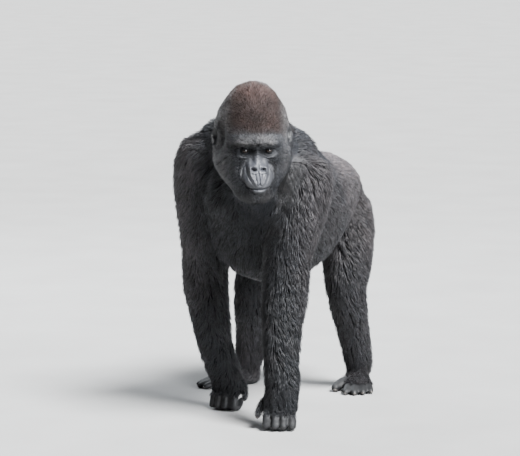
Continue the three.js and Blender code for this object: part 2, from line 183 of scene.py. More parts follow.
def face_share(points):
    """1 on the bare skin of the face: round the eyes, on the nose, the muzzle and the lips."""
    places = head_places(points)
    x, y, z = np.abs(places[:, 0]), places[:, 1], places[:, 2]
    wobble = 3 * waves(places, 22, 5)
    muzzle = 1 - step(0.84, 1.1, np.hypot((x + wobble) / (54 - 10 * step(-80, -125, z)), (z + 70) / 63))
    round_eyes = 1 - step(0.8, 1.15, np.hypot((x + wobble - 34) / 35, (z + 7) / 19))
    bridge = 1 - step(0.8, 1.1, np.hypot(x / 24, (z + 14) / 30))
    front = 1 - step(30, 50, y)
    return np.maximum(np.maximum(muzzle, round_eyes), bridge) * front * head_share(points)


def palm_share(points):
    """1 on the bare skin of the fingers, toes and soles."""
    share = np.zeros(len(points))
    for name, _ in SIDES:
        low, high = (np.array(corner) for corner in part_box("hand_" + name))
        finger_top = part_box("middle_finger_" + name)[1].z
        low[2] = 0.0
        fingers = 1 - step(finger_top - 0.03, finger_top - 0.008, points[:, 2])
        share = np.maximum(share, near_box(points, low, high, 0.05) * fingers)
        low, high = (np.array(corner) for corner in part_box("foot_" + name))
        toes = np.ones(len(points))
        for toe in TOES:
            toe_low, toe_high = (np.array(corner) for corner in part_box(toe + "_" + name))
            toes *= 1 - near_box(points, toe_low, toe_high, 0.004)
        sole = near_box(points, low, high, 0.05) * (1 - step(0.012, 0.03, points[:, 2]))
        share = np.maximum(share, np.maximum(sole, 1 - toes))
    return share


def near_box(points, low, high, margin):
    """1 inside a box, and 0 further from it than the margin."""
    outside = np.maximum(np.maximum(low - points, points - high), 0)
    return 1 - step(0, margin, np.linalg.norm(outside, axis=1))


def limb_ends(points, height, margin):
    """1 below a height, over a margin."""
    return 1 - step(height - margin, height + margin, points[:, 2])


def bare_share(points):
    """1 on all bare skin."""
    return np.maximum(np.maximum(face_share(points), ear_share(points)), palm_share(points))


def hair_length(points):
    """The length of the hair, in metres."""
    places = head_places(points)
    head = head_share(points)
    x, y, z = np.abs(places[:, 0]), places[:, 1], places[:, 2]
    on_head = HEAD_HAIR + 7 * step(40, 170, y) + 12 * step(120, 190, z)
    on_head += 3 * hill(places * np.array((0.5, 0.3, 1)), (0, -15, 34), (40, 30, 14))
    on_head += 6 * step(-60, -150, z) + 20 * step(66, 108, x) * step(30, -30, z) * step(-150, -90, z)
    for ear in EAR_MIDDLES.values():
        on_head *= 1 - 0.55 * hill(places, ear + np.array((0, -22, 0)), (34, 40, 46))
    on_body = np.full(len(points), BODY_HAIR)
    on_body += 8 * step(0.6, 0.8, points[:, 2]) * step(0.05, -0.25, points[:, 1])
    on_body -= 12 * step(0.1, 0.35, points[:, 1]) * step(0.62, 0.8, points[:, 2])
    near_hand = limb_ends(points, WRIST_HEIGHT + 0.01, 0.06) * step(0.1, -0.02, points[:, 1])
    near_foot = limb_ends(points, ANKLE_HEIGHT + 0.01, 0.05) * step(-0.02, 0.1, points[:, 1])
    on_body -= 22 * np.maximum(near_hand, near_foot)
    bare = bare_share(points)
    return (on_body * (1 - head) + on_head * head) * (1 - 0.75 * bare) * MM


def coat_depth(points):
    """How far the skin lies under the solids, which reach out to the tips of the hair."""
    return COAT_SHARE * hair_length(points) * (1 - bare_share(points))


# ---- The skin ------------------------------------------------------------------------------------

FLESH = sorted(name for name in NODES if not name.startswith("eye_"))
OVERLAP = 0.0006  # the solids are swollen by this much, so that they join
MUSCLE_ROUNDS = 42  # how often the body is smoothed
FACE_ROUNDS = 5
INWARD_STEPS = 3
SKIN_TRIANGLES = 190000


def edges_of(mesh):
    """The two ends of each edge."""
    flat = np.empty(len(mesh.edges) * 2, np.int32)
    mesh.edges.foreach_get("vertices", flat)
    return flat.reshape(-1, 2)


def normals_of(mesh):
    """The normals at the vertices."""
    flat = np.empty(len(mesh.vertices) * 3, np.float32)
    mesh.vertex_normals.foreach_get("vector", flat)
    return flat.reshape(-1, 3).astype(np.float64)


def put_points(mesh, points):
    """Moves the vertices of a mesh."""
    mesh.vertices.foreach_set("co", points.astype(np.float32).ravel())
    mesh.update()


def relaxed(values, edges, strength, rounds):
    """Values at the vertices, each moved towards the mean of its neighbours, round after round."""
    count = np.bincount(edges.ravel(), minlength=len(values))[:, None]
    strength = np.broadcast_to(np.asarray(strength, float), (len(values),))[:, None]
    for _ in range(rounds):
        around = np.stack([
            np.bincount(edges[:, 0], weights=values[edges[:, 1], k], minlength=len(values))
            + np.bincount(edges[:, 1], weights=values[edges[:, 0], k], minlength=len(values))
            for k in range(values.shape[1])
        ], axis=1) / np.maximum(count, 1)
        values = values + strength * (around - values)
    return values


def applied(piece, modifier):
    """Applies a modifier to the piece's mesh."""
    bpy.context.view_layer.objects.active = piece
    bpy.ops.object.modifier_apply(modifier=modifier.name)


def new_piece(name, data):
    """An object for a mesh, a camera or a light, in the scene."""
    piece = bpy.data.objects.new(name, data)
    bpy.context.scene.collection.objects.link(piece)
    return piece


def piece_of_shape(name, shape):
    """An object for a finished shape, in the scene."""
    mesh = bpy.data.meshes.new(name)
    shape.to_mesh(mesh)
    shape.free()
    return new_piece(name, mesh)


def joined_flesh(grain):
    """One closed mesh round all the solids of flesh, of even squares `grain` wide."""
    shape = bmesh.new()
    for name in FLESH:
        shape.from_mesh(NODES[name].data)
    bmesh.ops.remove_doubles(shape, verts=shape.verts, dist=1e-6)
    shape.normal_update()
    for vertex in shape.verts:
        vertex.co += vertex.normal * OVERLAP
    piece = piece_of_shape("skin", shape)
    remesh = piece.modifiers.new("even", "REMESH")
    remesh.mode = "VOXEL"
    remesh.voxel_size = grain
    applied(piece, remesh)
    return piece


def refine(mesh, chosen):
    """Halves the edges whose two ends are chosen."""
    picked = np.nonzero(chosen[edges_of(mesh)].all(1))[0]
    shape = bmesh.new()
    shape.from_mesh(mesh)
    shape.edges.ensure_lookup_table()
    edges = [shape.edges[i] for i in picked]
    bmesh.ops.subdivide_edges(shape, edges=edges, cuts=1, use_grid_fill=True)
    shape.to_mesh(mesh)
    shape.free()


# Hills and hollows of the face, in millimetres of the head's own frame: where, how far each reaches
# across and up, and how far it brings the skin forward. Those off the midline are on both sides.
FACE_HILLS = (
    ("brow notch", (0, 40), (7, 14), -4.0),
    ("brow", (0, 38), (66, 16), 6.0),
    ("edge of the brow", (38, 25), (36, 9), 20.0),
    ("edge of the brow in the middle", (0, 27), (14, 9), 12.0),
    ("mound of the forehead", (0, 134), (34, 22), 8.0),
    ("hollow of the forehead", (0, 92), (22, 24), -3.0),
    ("over the lid", (36, 12), (24, 5), 1.5),
    ("under the lid", (36, -15), (22, 7), 3.5),
    ("outer corner of the lids", (58, 0), (8, 9), 3.0),
    ("cheekbone", (56, -24), (18, 9), 2.5),
    ("top of the bridge", (0, -6), (10, 14), 3.0),
    ("side of the bridge", (17, -24), (6, 16), -3.0),
    ("nose pad", (0, -43), (22, 11), 3.0),
    ("lobe over the nostril", (13, -46), (9, 5), 5.5),
    ("midline of the nose", (0, -50), (2.0, 12), -4.0),
    ("wing", (27, -55), (5.5, 12), 9.5),
    ("back of the wing", (36, -55), (4, 16), -6.0),
    ("nostril", (13.5, -58), (6.5, 4.6), -15.0),
    ("corner of the nostril", (20, -55), (4.5, 3.4), -8.0),
    ("floor of the nostril", (13, -66), (8, 4), 2.5),
    ("lip's edge", (0, -110), (28, 4.5), 3.0),
    ("lower lip", (0, -124), (24, 5.5), 4.5),
    ("under the lip", (0, -135), (24, 5), -3.0),
)

# Folds of the face: the route across and up, how wide, and how deep. A negative depth is a ridge.
FACE_FOLDS = (
    ("mouth", ((0, -117.5), (12, -117.2), (23, -116), (31, -113.5), (36, -110.5)), 1.8, 6.5),
    ("corner of the mouth", ((36, -110), (40, -116), (40, -123)), 2.6, 2.2),
    ("crease of the forehead", ((0, 150), (34, 144), (66, 124)), 7.0, 5.0),
    ("groove under the nose", ((0, -62), (0, -104)), 1.6, 3.6),
    ("inner ridge of the lip", ((5.5, -68), (5.5, -82), (5, -102)), 2.4, -3.6),
    ("inner furrow of the lip", ((11, -72), (10.5, -88)), 1.6, 3.0),
    ("tail of the wing", ((28, -60), (26, -72), (18, -88), (10, -102)), 3.4, -4.6),
    ("outer furrow of the lip", ((36, -68), (31, -84), (21, -102)), 2.0, 2.2),
    ("beside the muzzle", ((30, -30), (42, -48), (50, -72), (50, -98)), 3.2, 3.6),
    ("second beside the muzzle", ((44, -28), (57, -50), (65, -78)), 3.0, 1.8),
    ("under the eye", ((22, -13), (34, -18.5), (48, -17), (58, -9)), 2.0, 2.2),
    ("second under the eye", ((22, -21), (36, -28), (52, -26), (64, -16)), 2.4, 1.8),
    ("over the eye", ((20, 6), (28, 9.5), (42, 10), (54, 5)), 1.8, 2.6),
    ("frown", ((8, 6), (10, 18), (8, 32)), 2.4, 2.4),
    ("across the bridge", ((0, 4), (12, 3)), 1.6, 1.8),
    ("second across the bridge", ((0, -4), (11, -6)), 1.5, 1.5),
    ("third across the bridge", ((0, -12), (11, -15)), 1.5, 1.3),
)

LID_THICKNESS = 1.7
LID_OPENING = (11.8, 3.4, 3.3)  # half the length of the opening, and its heights over and under the middle
SOCKET_ROUNDING = 5.0
SOCKET_REACH = (24.0, 30.0)  # how far from an eyeball's middle the skin is moulded to it, and how far back
LID_EDGE = 0.35  # half the width of the lids' edges
UNDER_EYE = 1.6  # how far under the eyeball's surface the skin passes inside the opening


def lid_opening(across, up):
    """Over 0 inside the opening of the lids, in millimetres from its edge, near enough."""
    half, over, under = LID_OPENING
    bow = 1 - (across / half) ** 2
    return np.where(up > 0, over * bow - up, under * bow + up)


def face_forward(places):
    """How far the skin of the face is brought forward, in millimetres."""
    x, y, z = places.T
    flat = np.stack((np.abs(x), z), axis=1)
    forward = np.zeros(len(places))
    for _, at, reach, rise in FACE_HILLS:
        forward += rise * hill(flat, at, reach)
    for _, route, width, depth in FACE_FOLDS:
        away, share = line_distance(flat, route)
        fading = 0.45 + 0.55 * np.sin(math.pi * (0.15 + 0.7 * share))
        forward -= depth * np.exp(-(away / width) ** 2) * fading
    forward += 0.7 * hill(flat, (0, -92), (40, 17)) * np.sin(x * 1.15 + 1.3 * np.sin(z * 0.12))
    forward += 0.45 * wrinkled_share(flat) * waves(places * np.array((1.0, 0.4, 1.8)), 9, 3)
    return forward * (1 - step(60, 90, y))


def wrinkled_share(flat):
    """1 over the wrinkled middle of the face."""
    return 1 - step(0.7, 1.1, np.hypot(flat[:, 0] / 66, (flat[:, 1] + 50) / 92))


def eye_sockets(places):
    """Places of the skin with lids round the two eyeballs."""
    radius = EYE_RADIUS / MM
    shaped = places.copy()
    for side in (1, -1):
        across = side * places[:, 0] - EYE_ACROSS
        up = places[:, 2]
        away = np.hypot(across, up)
        near = (away < SOCKET_REACH[0]) & (places[:, 1] < SOCKET_REACH[1])
        ball = np.sqrt(np.maximum((radius + LID_THICKNESS) ** 2 - away ** 2, 0))
        lid = EYE_DEPTH - ball
        skin = shaped[:, 1]
        # The more forward of the two, rounded where they meet.
        mix = np.clip(0.5 + 0.5 * (skin - lid) / SOCKET_ROUNDING, 0, 1)
        covered = skin * (1 - mix) + lid * mix - SOCKET_ROUNDING * mix * (1 - mix)
        covered = np.where(away < radius + LID_THICKNESS, covered, skin)
        inside = EYE_DEPTH - np.sqrt(np.maximum((radius - UNDER_EYE) ** 2 - away ** 2, 0))
        opening = step(-LID_EDGE, LID_EDGE, lid_opening(across, up))
        placed = covered * (1 - opening) + inside * opening
        shaped[:, 1] = np.where(near, placed, skin)
    return shaped


EAR = (115.0, 84.0, 38.0)  # the left ear's middle
EAR_TURN = math.radians(38)
EAR_SIZE = (20.0, 33.0)  # half its width and half its height
EAR_HOLLOW = (5.0, 3.0)
EAR_HOLLOW_REACH = (11.0, 21.0)
EAR_DEPTHS = (13.0, 3.0, 4.0)  # how deep the hollow and the furrow are, and how high the rim


def ear_flat(places, side):
    """Places as an ear sees them: out along it, up, and in behind its face, in millimetres."""
    x, y = side * places[:, 0] - EAR[0], places[:, 1] - EAR[1]
    out = x * math.cos(EAR_TURN) + y * math.sin(EAR_TURN)
    behind = y * math.cos(EAR_TURN) - x * math.sin(EAR_TURN)
    return np.stack((out, places[:, 2] - EAR[2], behind), axis=1)


def ear_hollows(places):
    """Places of the skin with the ears hollowed inside their rims."""
    moved = places.copy()
    for side in (1, -1):
        flat = ear_flat(places, side)
        ring = np.hypot(flat[:, 0] / EAR_SIZE[0], flat[:, 1] / EAR_SIZE[1])
        furrow, rim = np.exp(-((ring - 0.72) / 0.1) ** 2), np.exp(-((ring - 0.93) / 0.12) ** 2)
        press = EAR_DEPTHS[0] * hill(flat[:, :2], EAR_HOLLOW, EAR_HOLLOW_REACH)
        press += EAR_DEPTHS[1] * furrow - EAR_DEPTHS[2] * rim
        press *= step(3, -3, flat[:, 2]) * (ring < 1.3) * step(-16, -8, flat[:, 0])
        moved[:, 1] += press * math.cos(EAR_TURN)
        moved[:, 0] -= side * press * math.sin(EAR_TURN)
    return moved


def from_head(places):
    """Places in the head's own frame, back in the scene."""
    return places * MM @ HEAD_AXES + HEAD_ORIGIN


# The head's outline, in millimetres of its own frame: where, how far it reaches, and how far the skin
# moves. The temples and the sides of the jaw move in, the crown moves up and the right cheek moves out.
TEMPLE = ((112, 42, 34), (34, 26, 40), 12.0)  # before the ears, so that they show from in front
JAW = ((82, 10, -128), (34, 60, 30), 9.0)
CROWN = ((0, 40, 205), (62, 85, 60), 7.0)
CHEEK = ((-108, 40, -10), (50, 62, 62), 9.0)
FINGER_GROOVE = 0.0055
GROOVE_WIDTH = 0.0028
KNUCKLE_FOLDS = (0.030, 0.036, 0.058, 0.065)
FOLD_DEPTH = 0.0012
FOLD_WIDTH = 0.0016


def between_fingers(points):
    """How far the skin is pressed in between the fingers, in metres."""
    press = np.zeros(len(points))
    for name, _ in SIDES:
        rows = [middle(finger + "_finger_" + name) for finger in ("index", "middle", "ring", "little")]
        across = rows[-1] - rows[0]
        across[2] = 0
        across /= np.linalg.norm(across)
        low, high = (np.array(corner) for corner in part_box("hand_" + name))
        low[2] = 0.0
        near = near_box(points, low, high, 0.05) * (1 - step(0.066, 0.086, points[:, 2]))
        for first, second in zip(rows, rows[1:]):
            away = (points - (first + second) / 2) @ across
            press += FINGER_GROOVE * near * np.exp(-(away / GROOVE_WIDTH) ** 2)
        for height in KNUCKLE_FOLDS:
            press += FOLD_DEPTH * near * np.exp(-((points[:, 2] - height) / FOLD_WIDTH) ** 2)
    return press


def draw_in(mesh):
    """Smooths the joined flesh, and draws it in by the coat's depth."""
    points = mesh_points(mesh)
    edges = edges_of(mesh)
    detailed = head_share(points) * step(90, 30, head_places(points)[:, 1])
    ends = np.maximum(limb_ends(points, 0.15, 0.03), detailed)
    ends = np.maximum(ends, ear_share(points))
    points = relaxed(points, edges, 0.55 * (1 - ends), MUSCLE_ROUNDS)
    points = relaxed(points, edges, 0.5 * (1 - 0.8 * ear_share(points)), FACE_ROUNDS)
    put_points(mesh, points)
    for _ in range(INWARD_STEPS):
        inward = unit(relaxed(normals_of(mesh), edges, 0.6, 12))
        points = points - inward * coat_depth(points)[:, None] / INWARD_STEPS
        put_points(mesh, points)
    points = relaxed(points, edges, 0.4 * (1 - ends), 10)
    points[:, 2] = np.maximum(points[:, 2], FLOOR_GAP)
    put_points(mesh, from_head(outlined(points)))


def outlined(points):
    """Places of the skin in the head's own frame, with the temples, jaw, crown and right cheek shaped."""
    places = head_places(points)
    for side in (1, -1):
        sided = places * np.array((side, 1, 1))
        temple = hill(sided, TEMPLE[0], TEMPLE[1]) * (1 - ear_share(points))
        places[:, 0] -= side * (TEMPLE[2] * temple + JAW[2] * hill(sided, JAW[0], JAW[1]))
    places[:, 2] += CROWN[2] * hill(places, CROWN[0], CROWN[1])
    places[:, 0] -= CHEEK[2] * hill(places, CHEEK[0], CHEEK[1])
    return places


def refine_details(mesh):
    """Halves the skin's squares on the head, hands and feet, again on the face, and again at the eyes."""
    for face_only in (False, True):
        points = mesh_points(mesh)
        places = head_places(points)
        on_head = head_share(points) > 0.5
        chosen = (np.abs(places[:, 0]) < 74) & (places[:, 1] < 34) & (places[:, 2] < 52) & on_head
        if not face_only:
            chosen |= (ear_share(points) > 0.3) | (points[:, 2] < 0.1) | (on_head & (places[:, 1] < 60))
        refine(mesh, chosen)
    places = head_places(mesh_points(mesh))
    from_eye = np.hypot(np.abs(places[:, 0]) - EYE_ACROSS, places[:, 2])
    refine(mesh, (from_eye < 20) & (places[:, 1] < 20))


def model_details(mesh):
    """Models the face, the ears, the lids and the grooves between the fingers, and gives the points."""
    points = mesh_points(mesh)
    head = head_share(points) > 0.2
    smooth = relaxed(points, edges_of(mesh), 0.5 * head, 3)
    places = head_places(smooth)
    places[:, 1] -= face_forward(places) * head
    places = eye_sockets(ear_hollows(places))
    inward = normals_of(mesh) * between_fingers(points)[:, None]
    points = np.where(head[:, None], from_head(places), smooth - inward)
    points[:, 2] = np.maximum(points[:, 2], FLOOR_GAP)
    put_points(mesh, points)
    return points


def thin_out(piece, points):
    """Brings the skin down to its number of triangles, mostly away from the face, ears, hands and feet."""
    detail = piece.vertex_groups.new(name="detail")
    places = head_places(points)
    face = (head_share(points) > 0.5) & (np.abs(places[:, 0]) < 80)
    face &= (places[:, 1] < 50) & (places[:, 2] < 60)
    hands = (points[:, 2] < 0.16) | (ear_share(points) > 0.3)
    detail.add(np.nonzero(face)[0].tolist(), 1.0, "REPLACE")
    detail.add(np.nonzero(hands & ~face)[0].tolist(), 0.5, "REPLACE")
    applied(piece, piece.modifiers.new("triangles", "TRIANGULATE"))
    if len(piece.data.polygons) > SKIN_TRIANGLES:
        fewer = piece.modifiers.new("fewer", "DECIMATE")
        fewer.ratio = SKIN_TRIANGLES / len(piece.data.polygons)
        fewer.vertex_group = "detail"
        fewer.invert_vertex_group = True
        fewer.vertex_group_factor = 4.0
        applied(piece, fewer)
    piece.vertex_groups.clear()


def make_skin(grain):
    """The skin: the joined flesh, smoothed, drawn in by the coat's depth, with the face modelled."""
    piece = joined_flesh(grain)
    draw_in(piece.data)
    refine_details(piece.data)
    points = model_details(piece.data)
    thin_out(piece, points)
    piece.data.shade_smooth()
    return piece


def add_bake_map(piece):
    """Unwraps the skin into a map of its own shape, for its pieces of coat to take their places from."""
    for other in bpy.context.selected_objects:
        other.select_set(False)
    piece.select_set(True)
    bpy.context.view_layer.objects.active = piece
    piece.data.uv_layers.new(name="OFBake")
    bpy.ops.object.mode_set(mode="EDIT")
    bpy.ops.mesh.select_all(action="SELECT")
    bpy.ops.uv.smart_project(angle_limit=math.radians(66), island_margin=0.001)
    bpy.ops.object.mode_set(mode="OBJECT")
    piece.select_set(False)


# ---- Markings ------------------------------------------------------------------------------------

SOCKET_SHADE = ((26, 0), (42, 19))  # painted shade under the brow: where, across and up, and how far the skin round the eyes is darkened
DRY_SOCKETS = ((26, 1), (42, 17))  # and how far it is dull


def mixed(colors, color, share):
    """Colours, each moved towards a colour by its own share."""
    return colors + (np.array(color) - colors) * share[:, None]


def coat_colors(points, looks):
    """The colour of the coat at each point, as linear light."""
    places, head, patches = head_places(points), head_share(points), waves(points, 0.09, 21)
    return head_colors(body_colors(points, looks, head, patches), places, looks, head, patches)


def body_colors(points, looks, head, patches):
    """Black on the chest, belly and arms with painted shade on the chest, belly and inner arms, and grey on
    the back, the flanks, the rump and the shoulders, partly their own grey and partly painted light and
    sheen.
    """
    y, z = points[:, 1], points[:, 2]
    aside = np.abs(points[:, 0] - BODY_MIDLINE)
    colors = np.tile(np.array(looks.coat_color), (len(points), 1))
    # Partly the coat's own grey saddle and partly painted light: the back, the rump and the backs of the
    # thighs are made greyer, and the top of the body lighter where the light from above falls.
    high = step(0.55, 0.85, z) * step(0.0, 0.15, y)
    behind = step(0.02, 0.2, y) * step(0.42, 0.6, z)
    back = np.clip(0.62 * behind + 0.42 * high + 0.12 * patches, 0, 1)
    # Painted sheen: the shoulders and outer upper arms are moved towards the grey of the back, standing in
    # for the light's glossy sheen on their black hair.
    shoulders = (1 - head) * step(0.12, 0.22, aside) * step(0.2, 0.6, z) * step(0.1, 0.0, y)
    legs = step(0.12, 0.25, y) * (1 - step(0.4, 0.6, z))
    for share in (back, 0.32 * shoulders, 0.25 * legs):
        colors = mixed(colors, looks.saddle_color, share)
    # Painted shade: the chest, the belly and the inner arms, which lie in shade under the head and between
    # the arms, are made darker.
    under = (1 - head) * step(0.24, 0.14, aside) * step(0.84, 0.7, z)
    return colors * (1 - 0.62 * under)[:, None]


def head_colors(colors, places, looks, head, patches):
    """The red-brown crown, and the grey brow, temples, cheeks and chin, over the body's colours, with
    painted highlights on the top of the head and the forehead's mound, painted shade in the forehead's
    hollow and under the brow, and painted light on the cheeks.
    """
    flat = places[:, (0, 2)]
    x, y, z = np.abs(places[:, 0]), places[:, 1], places[:, 2]
    crown = head * step(44, 84, z + 6 * patches) * (1 - step(60, 150, y)) * (1 - 0.85 * step(58, 100, x))
    colors = mixed(colors, looks.crown_color, np.clip(0.95 * crown + 0.1 * patches * crown, 0, 1))
    colors = mixed(colors, looks.crown_color, 0.45 * head * step(60, 110, z) * step(60, 150, y))
    # Painted light and shade: the top of the head is painted lighter as the sheen of light from above, the
    # mound of the forehead lighter as a painted highlight, and the hollow under it darker as painted shade.
    mound = 0.5 * hill(flat, (0, 140), (36, 20)) - 0.5 * hill(flat, (0, 88), (24, 30))
    mound *= head * (1 - step(60, 110, y))
    colors = colors * (1 + 1.9 * head * step(140, 195, z) + mound)[:, None]
    # Partly grizzle and partly painted light: the sides of the head are moved towards grey, standing in for
    # light falling on the cheek.
    sides = head * step(66, 98, x) * (1 - step(110, 170, z)) * (1 - step(90, 150, y))
    colors = mixed(colors, looks.grizzle_color, 0.36 * sides)
    brow = head * step(14, 26, z) * (1 - step(34, 62, z + 5 * patches)) * (1 - step(40, 90, x))
    brow *= 1 - step(10, 60, y)
    colors = mixed(colors, looks.grizzle_color, np.clip(brow * (0.46 + 0.2 * patches), 0, 1))
    # Painted shade: a band across the face at the eyes, under the brow, is made darker.
    colors = colors * (1 - 0.6 * head * hill(flat, (0, 2), (74, 20)) * (1 - step(0, 50, y)))[:, None]
    chin = head * step(-118, -135, z) * (1 - step(20, 60, y))
    return mixed(colors, looks.grizzle_color, 0.14 * chin)


def skin_colors(points, looks):
    """The colour of the skin: the coat's, darker, and the bare skin's, with painted shade round the eyes
    and in the ears' hollows and a painted highlight on the nose.
    """
    places = head_places(points)
    flat = places[:, (0, 2)]
    face, ears = face_share(points), ear_share(points)
    colors = mixed(0.6 * coat_colors(points, looks), looks.skin_color, bare_share(points))
    lips = face * np.exp(-((places[:, 2] + 122) / 5) ** 2) * (1 - step(34, 48, np.abs(places[:, 0])))
    # Painted highlight: the nose is made lighter, standing in for light glinting on its bare skin.
    nose = face * hill(flat, (0, -62), (27, 46))
    sockets = hill(np.abs(flat), *SOCKET_SHADE) * head_share(points)
    # Painted shade: the hollows of the ears are made darker.
    shaded_ear_hollows = np.zeros(len(points))
    for side in (1, -1):
        shaded_ear_hollows += hill(ear_flat(places, side)[:, :2], EAR_HOLLOW, EAR_HOLLOW_REACH)
    darker = 1 - 0.92 * np.clip(1.3 * shaded_ear_hollows * ears, 0, 1) - 0.8 * palm_share(points)
    # Painted shade under the brow: the skin round the eyes is made darker.
    darker *= 1 - 0.94 * sockets * step(0, -30, places[:, 1])
    darker *= 1 - 0.35 * ears
    return colors * ((1 + 0.6 * lips + 2.2 * nose) * darker)[:, None]


def bare_values(points):
    """How bare and moist the skin is: most on the nose, and little in the sockets and on the palms."""
    flat = head_places(points)[:, (0, 2)]
    sockets = hill(np.abs(flat), *DRY_SOCKETS) * head_share(points)
    nose = hill(flat, (0, -66), (34, 50))
    wet = (1 - 0.4 * (1 - nose) * face_share(points)) * (1 - 0.45 * palm_share(points))
    return bare_share(points) * (1 - 0.9 * sockets) * wet


def add_colors(mesh, name, colors):
    """Gives the vertices of a mesh a colour each."""
    layer = mesh.color_attributes.new(name=name, type="FLOAT_COLOR", domain="POINT")
    whole = np.ones((len(colors), 4), np.float32)
    whole[:, :3] = np.clip(colors, 0, 1)
    layer.data.foreach_set("color", whole.ravel())


def add_values(mesh, name, values):
    """Gives the vertices of a mesh a value each."""
    layer = mesh.attributes.new(name=name, type="FLOAT", domain="POINT")
    layer.data.foreach_set("value", values.astype(np.float32))


# ---- The lie of the coat -------------------------------------------------------------------------

# Which way the hair points on each part of the body: to the side away from the midline, back, and up.
LIES = {
    "neck": (0.25, 1.0, -0.55),
    "chest": (0.1, 0.45, -0.9),
    "abdomen": (0.1, 0.8, -0.6),
    "upper_arm": (0.3, 0.25, -1.0),
    "forearm": (0.5, 0.75, -0.45),
    "hand": (0.2, 0.1, -1.0),
    "thigh": (0.15, 0.55, -0.85),
    "shank": (0.15, 0.5, -0.85),
    "foot": (0.1, -0.6, -0.6),
}
LIE_ROUNDS = 64
SIDE_OF_BODY = 0.08  # how far from the midline the hair turns fully to its own side


def part_of(node):
    """The kind of a node, without its side."""
    for name, _ in SIDES:
        if node.endswith("_" + name):
            return node[:-len(name) - 1]
    return node


def nearest_parts(points):
    """For each point, which of FLESH is nearest."""
    corners, faces, owners = [], [], []
    for number, name in enumerate(FLESH):
        mesh = NODES[name].data
        first = len(corners)
        corners.extend(vertex.co.copy() for vertex in mesh.vertices)
        for face in mesh.polygons:
            faces.append([first + i for i in face.vertices])
            owners.append(number)
    tree = BVHTree.FromPolygons(corners, faces)
    owners = np.array(owners)
    return owners[[tree.find_nearest(Vector(point))[2] for point in points]]


def head_lie(places):
    """The way of the hair on the head: out from between the brows, and down over the cheeks and chin."""
    away = unit(places - np.array((0.0, -58.0, 10.0)))
    cheeks = np.stack((np.clip(places[:, 0] / 50, -1, 1) * 0.45, np.full(len(places), 0.75),
                       np.full(len(places), -0.75)), axis=1)
    low = step(20, -30, places[:, 2])[:, None]
    chin = (step(-110, -140, places[:, 2]) * step(50, 0, places[:, 1]))[:, None]
    mixture = away * (1 - low) + cheeks * low
    mixture = mixture * (1 - chin) + np.array((0.0, -0.5, -1.0)) * chin
    back = step(60, 140, places[:, 1])[:, None]
    mixture = mixture * (1 - back) + np.array((0.0, 0.6, -0.9)) * back
    return unit(mixture)


def flattened(ways, normals):
    """Ways, laid along the surface."""
    return unit(ways - normals * (ways * normals).sum(1)[:, None])


def lie_of_coat(mesh, owners):
    """The way of the hair at each vertex of the skin."""
    points, normals, edges = mesh_points(mesh), normals_of(mesh), edges_of(mesh)
    ways = np.zeros((len(points), 3))
    for number, name in enumerate(FLESH):
        lie = LIES.get(part_of(name))
        if lie is None:
            lie = LIES["foot"] if "toe" in name else LIES["hand"]
        ways[owners == number] = lie
    sideways = np.clip(points[:, 0] / SIDE_OF_BODY, -1, 1)
    ways[:, 0] *= sideways
    top = (step(0.78, 0.95, points[:, 2]) * (1 - head_share(points)))[:, None]
    over_back = np.stack((0.35 * sideways, np.full(len(points), 1.0), np.full(len(points), -0.25)), axis=1)
    ways = ways * (1 - 0.7 * top) + over_back * 0.7 * top
    head = head_share(points)[:, None]
    ways = ways * (1 - head) + (head_lie(head_places(points)) @ HEAD_AXES) * head
    ways = flattened(ways, normals)
    still = (1 - 0.6 * head_share(points)) * 0.7
    for _ in range(4):
        ways = flattened(relaxed(ways, edges, still, LIE_ROUNDS // 4), normals)
    return ways


# ---- Tufts of hair -------------------------------------------------------------------------------

# How far along a tuft each of its rings is, and the ring's share of the width.
LONG_RINGS = ((0.34, 1.0), (0.7, 0.72))
SHORT_RINGS = ((0.42, 1.0),)
FLATNESS = 0.42
SUNK = 0.0025
BAKE_PATCH = 0.003
BACK_HEIGHT = 0.76
CROWN_FROM = 50  # where the piece of coat on the crown begins, in millimetres over the eyes
PIECE_TRIANGLES = 199000
CLUMP = 9  # about how many tufts are in a clump
LEAST_LIFT = 0.0006  # of a tuft's tip over the skin
# Each tuft's share of the usual length, lift and width, and of the way to its clump, is drawn from these.
LENGTHS = (0.7, 1.25)
LIFTS = (0.65, 1.6)
WIDTHS = (0.6, 1.3)
GATHERING = (0.1, 0.5)
ROOT_SHADES = {1: 0.7, 2: 0.45}  # how dark the roots are, by a tuft's number of rings
TIP_SHADE = 1.3


class Skin:
    """What the coat needs to know of the skin, triangle by triangle."""

    def __init__(self, piece, ways):
        mesh = piece.data
        self.points = mesh_points(mesh)
        normals = normals_of(mesh)
        count = len(mesh.polygons)
        corners = np.empty(count * 3, np.int32)
        mesh.polygons.foreach_get("vertices", corners)
        self.corners = corners.reshape(-1, 3)
        spots = np.empty(count * 6, np.float32)
        mesh.uv_layers["OFBake"].data.foreach_get("uv", spots)
        self.spots = spots.reshape(-1, 3, 2)
        at = self.points[self.corners]
        cross = np.cross(at[:, 1] - at[:, 0], at[:, 2] - at[:, 0])
        self.areas = np.linalg.norm(cross, axis=1) / 2
        self.middles = at.mean(1)
        self.normals = unit(normals[self.corners].mean(1))
        self.ways = flattened(ways[self.corners].mean(1), self.normals)
        self.tree = BVHTree.FromPolygons([Vector(point) for point in self.points], self.corners.tolist())

    def under(self, points):
        """The places on the skin nearest to points, and their triangles."""
        places = np.empty((len(points), 3))
        faces = np.empty(len(points), np.int64)
        for i, point in enumerate(points):
            place, _, face, _ = self.tree.find_nearest(Vector(point))
            places[i] = place
            faces[i] = face
        return places, faces


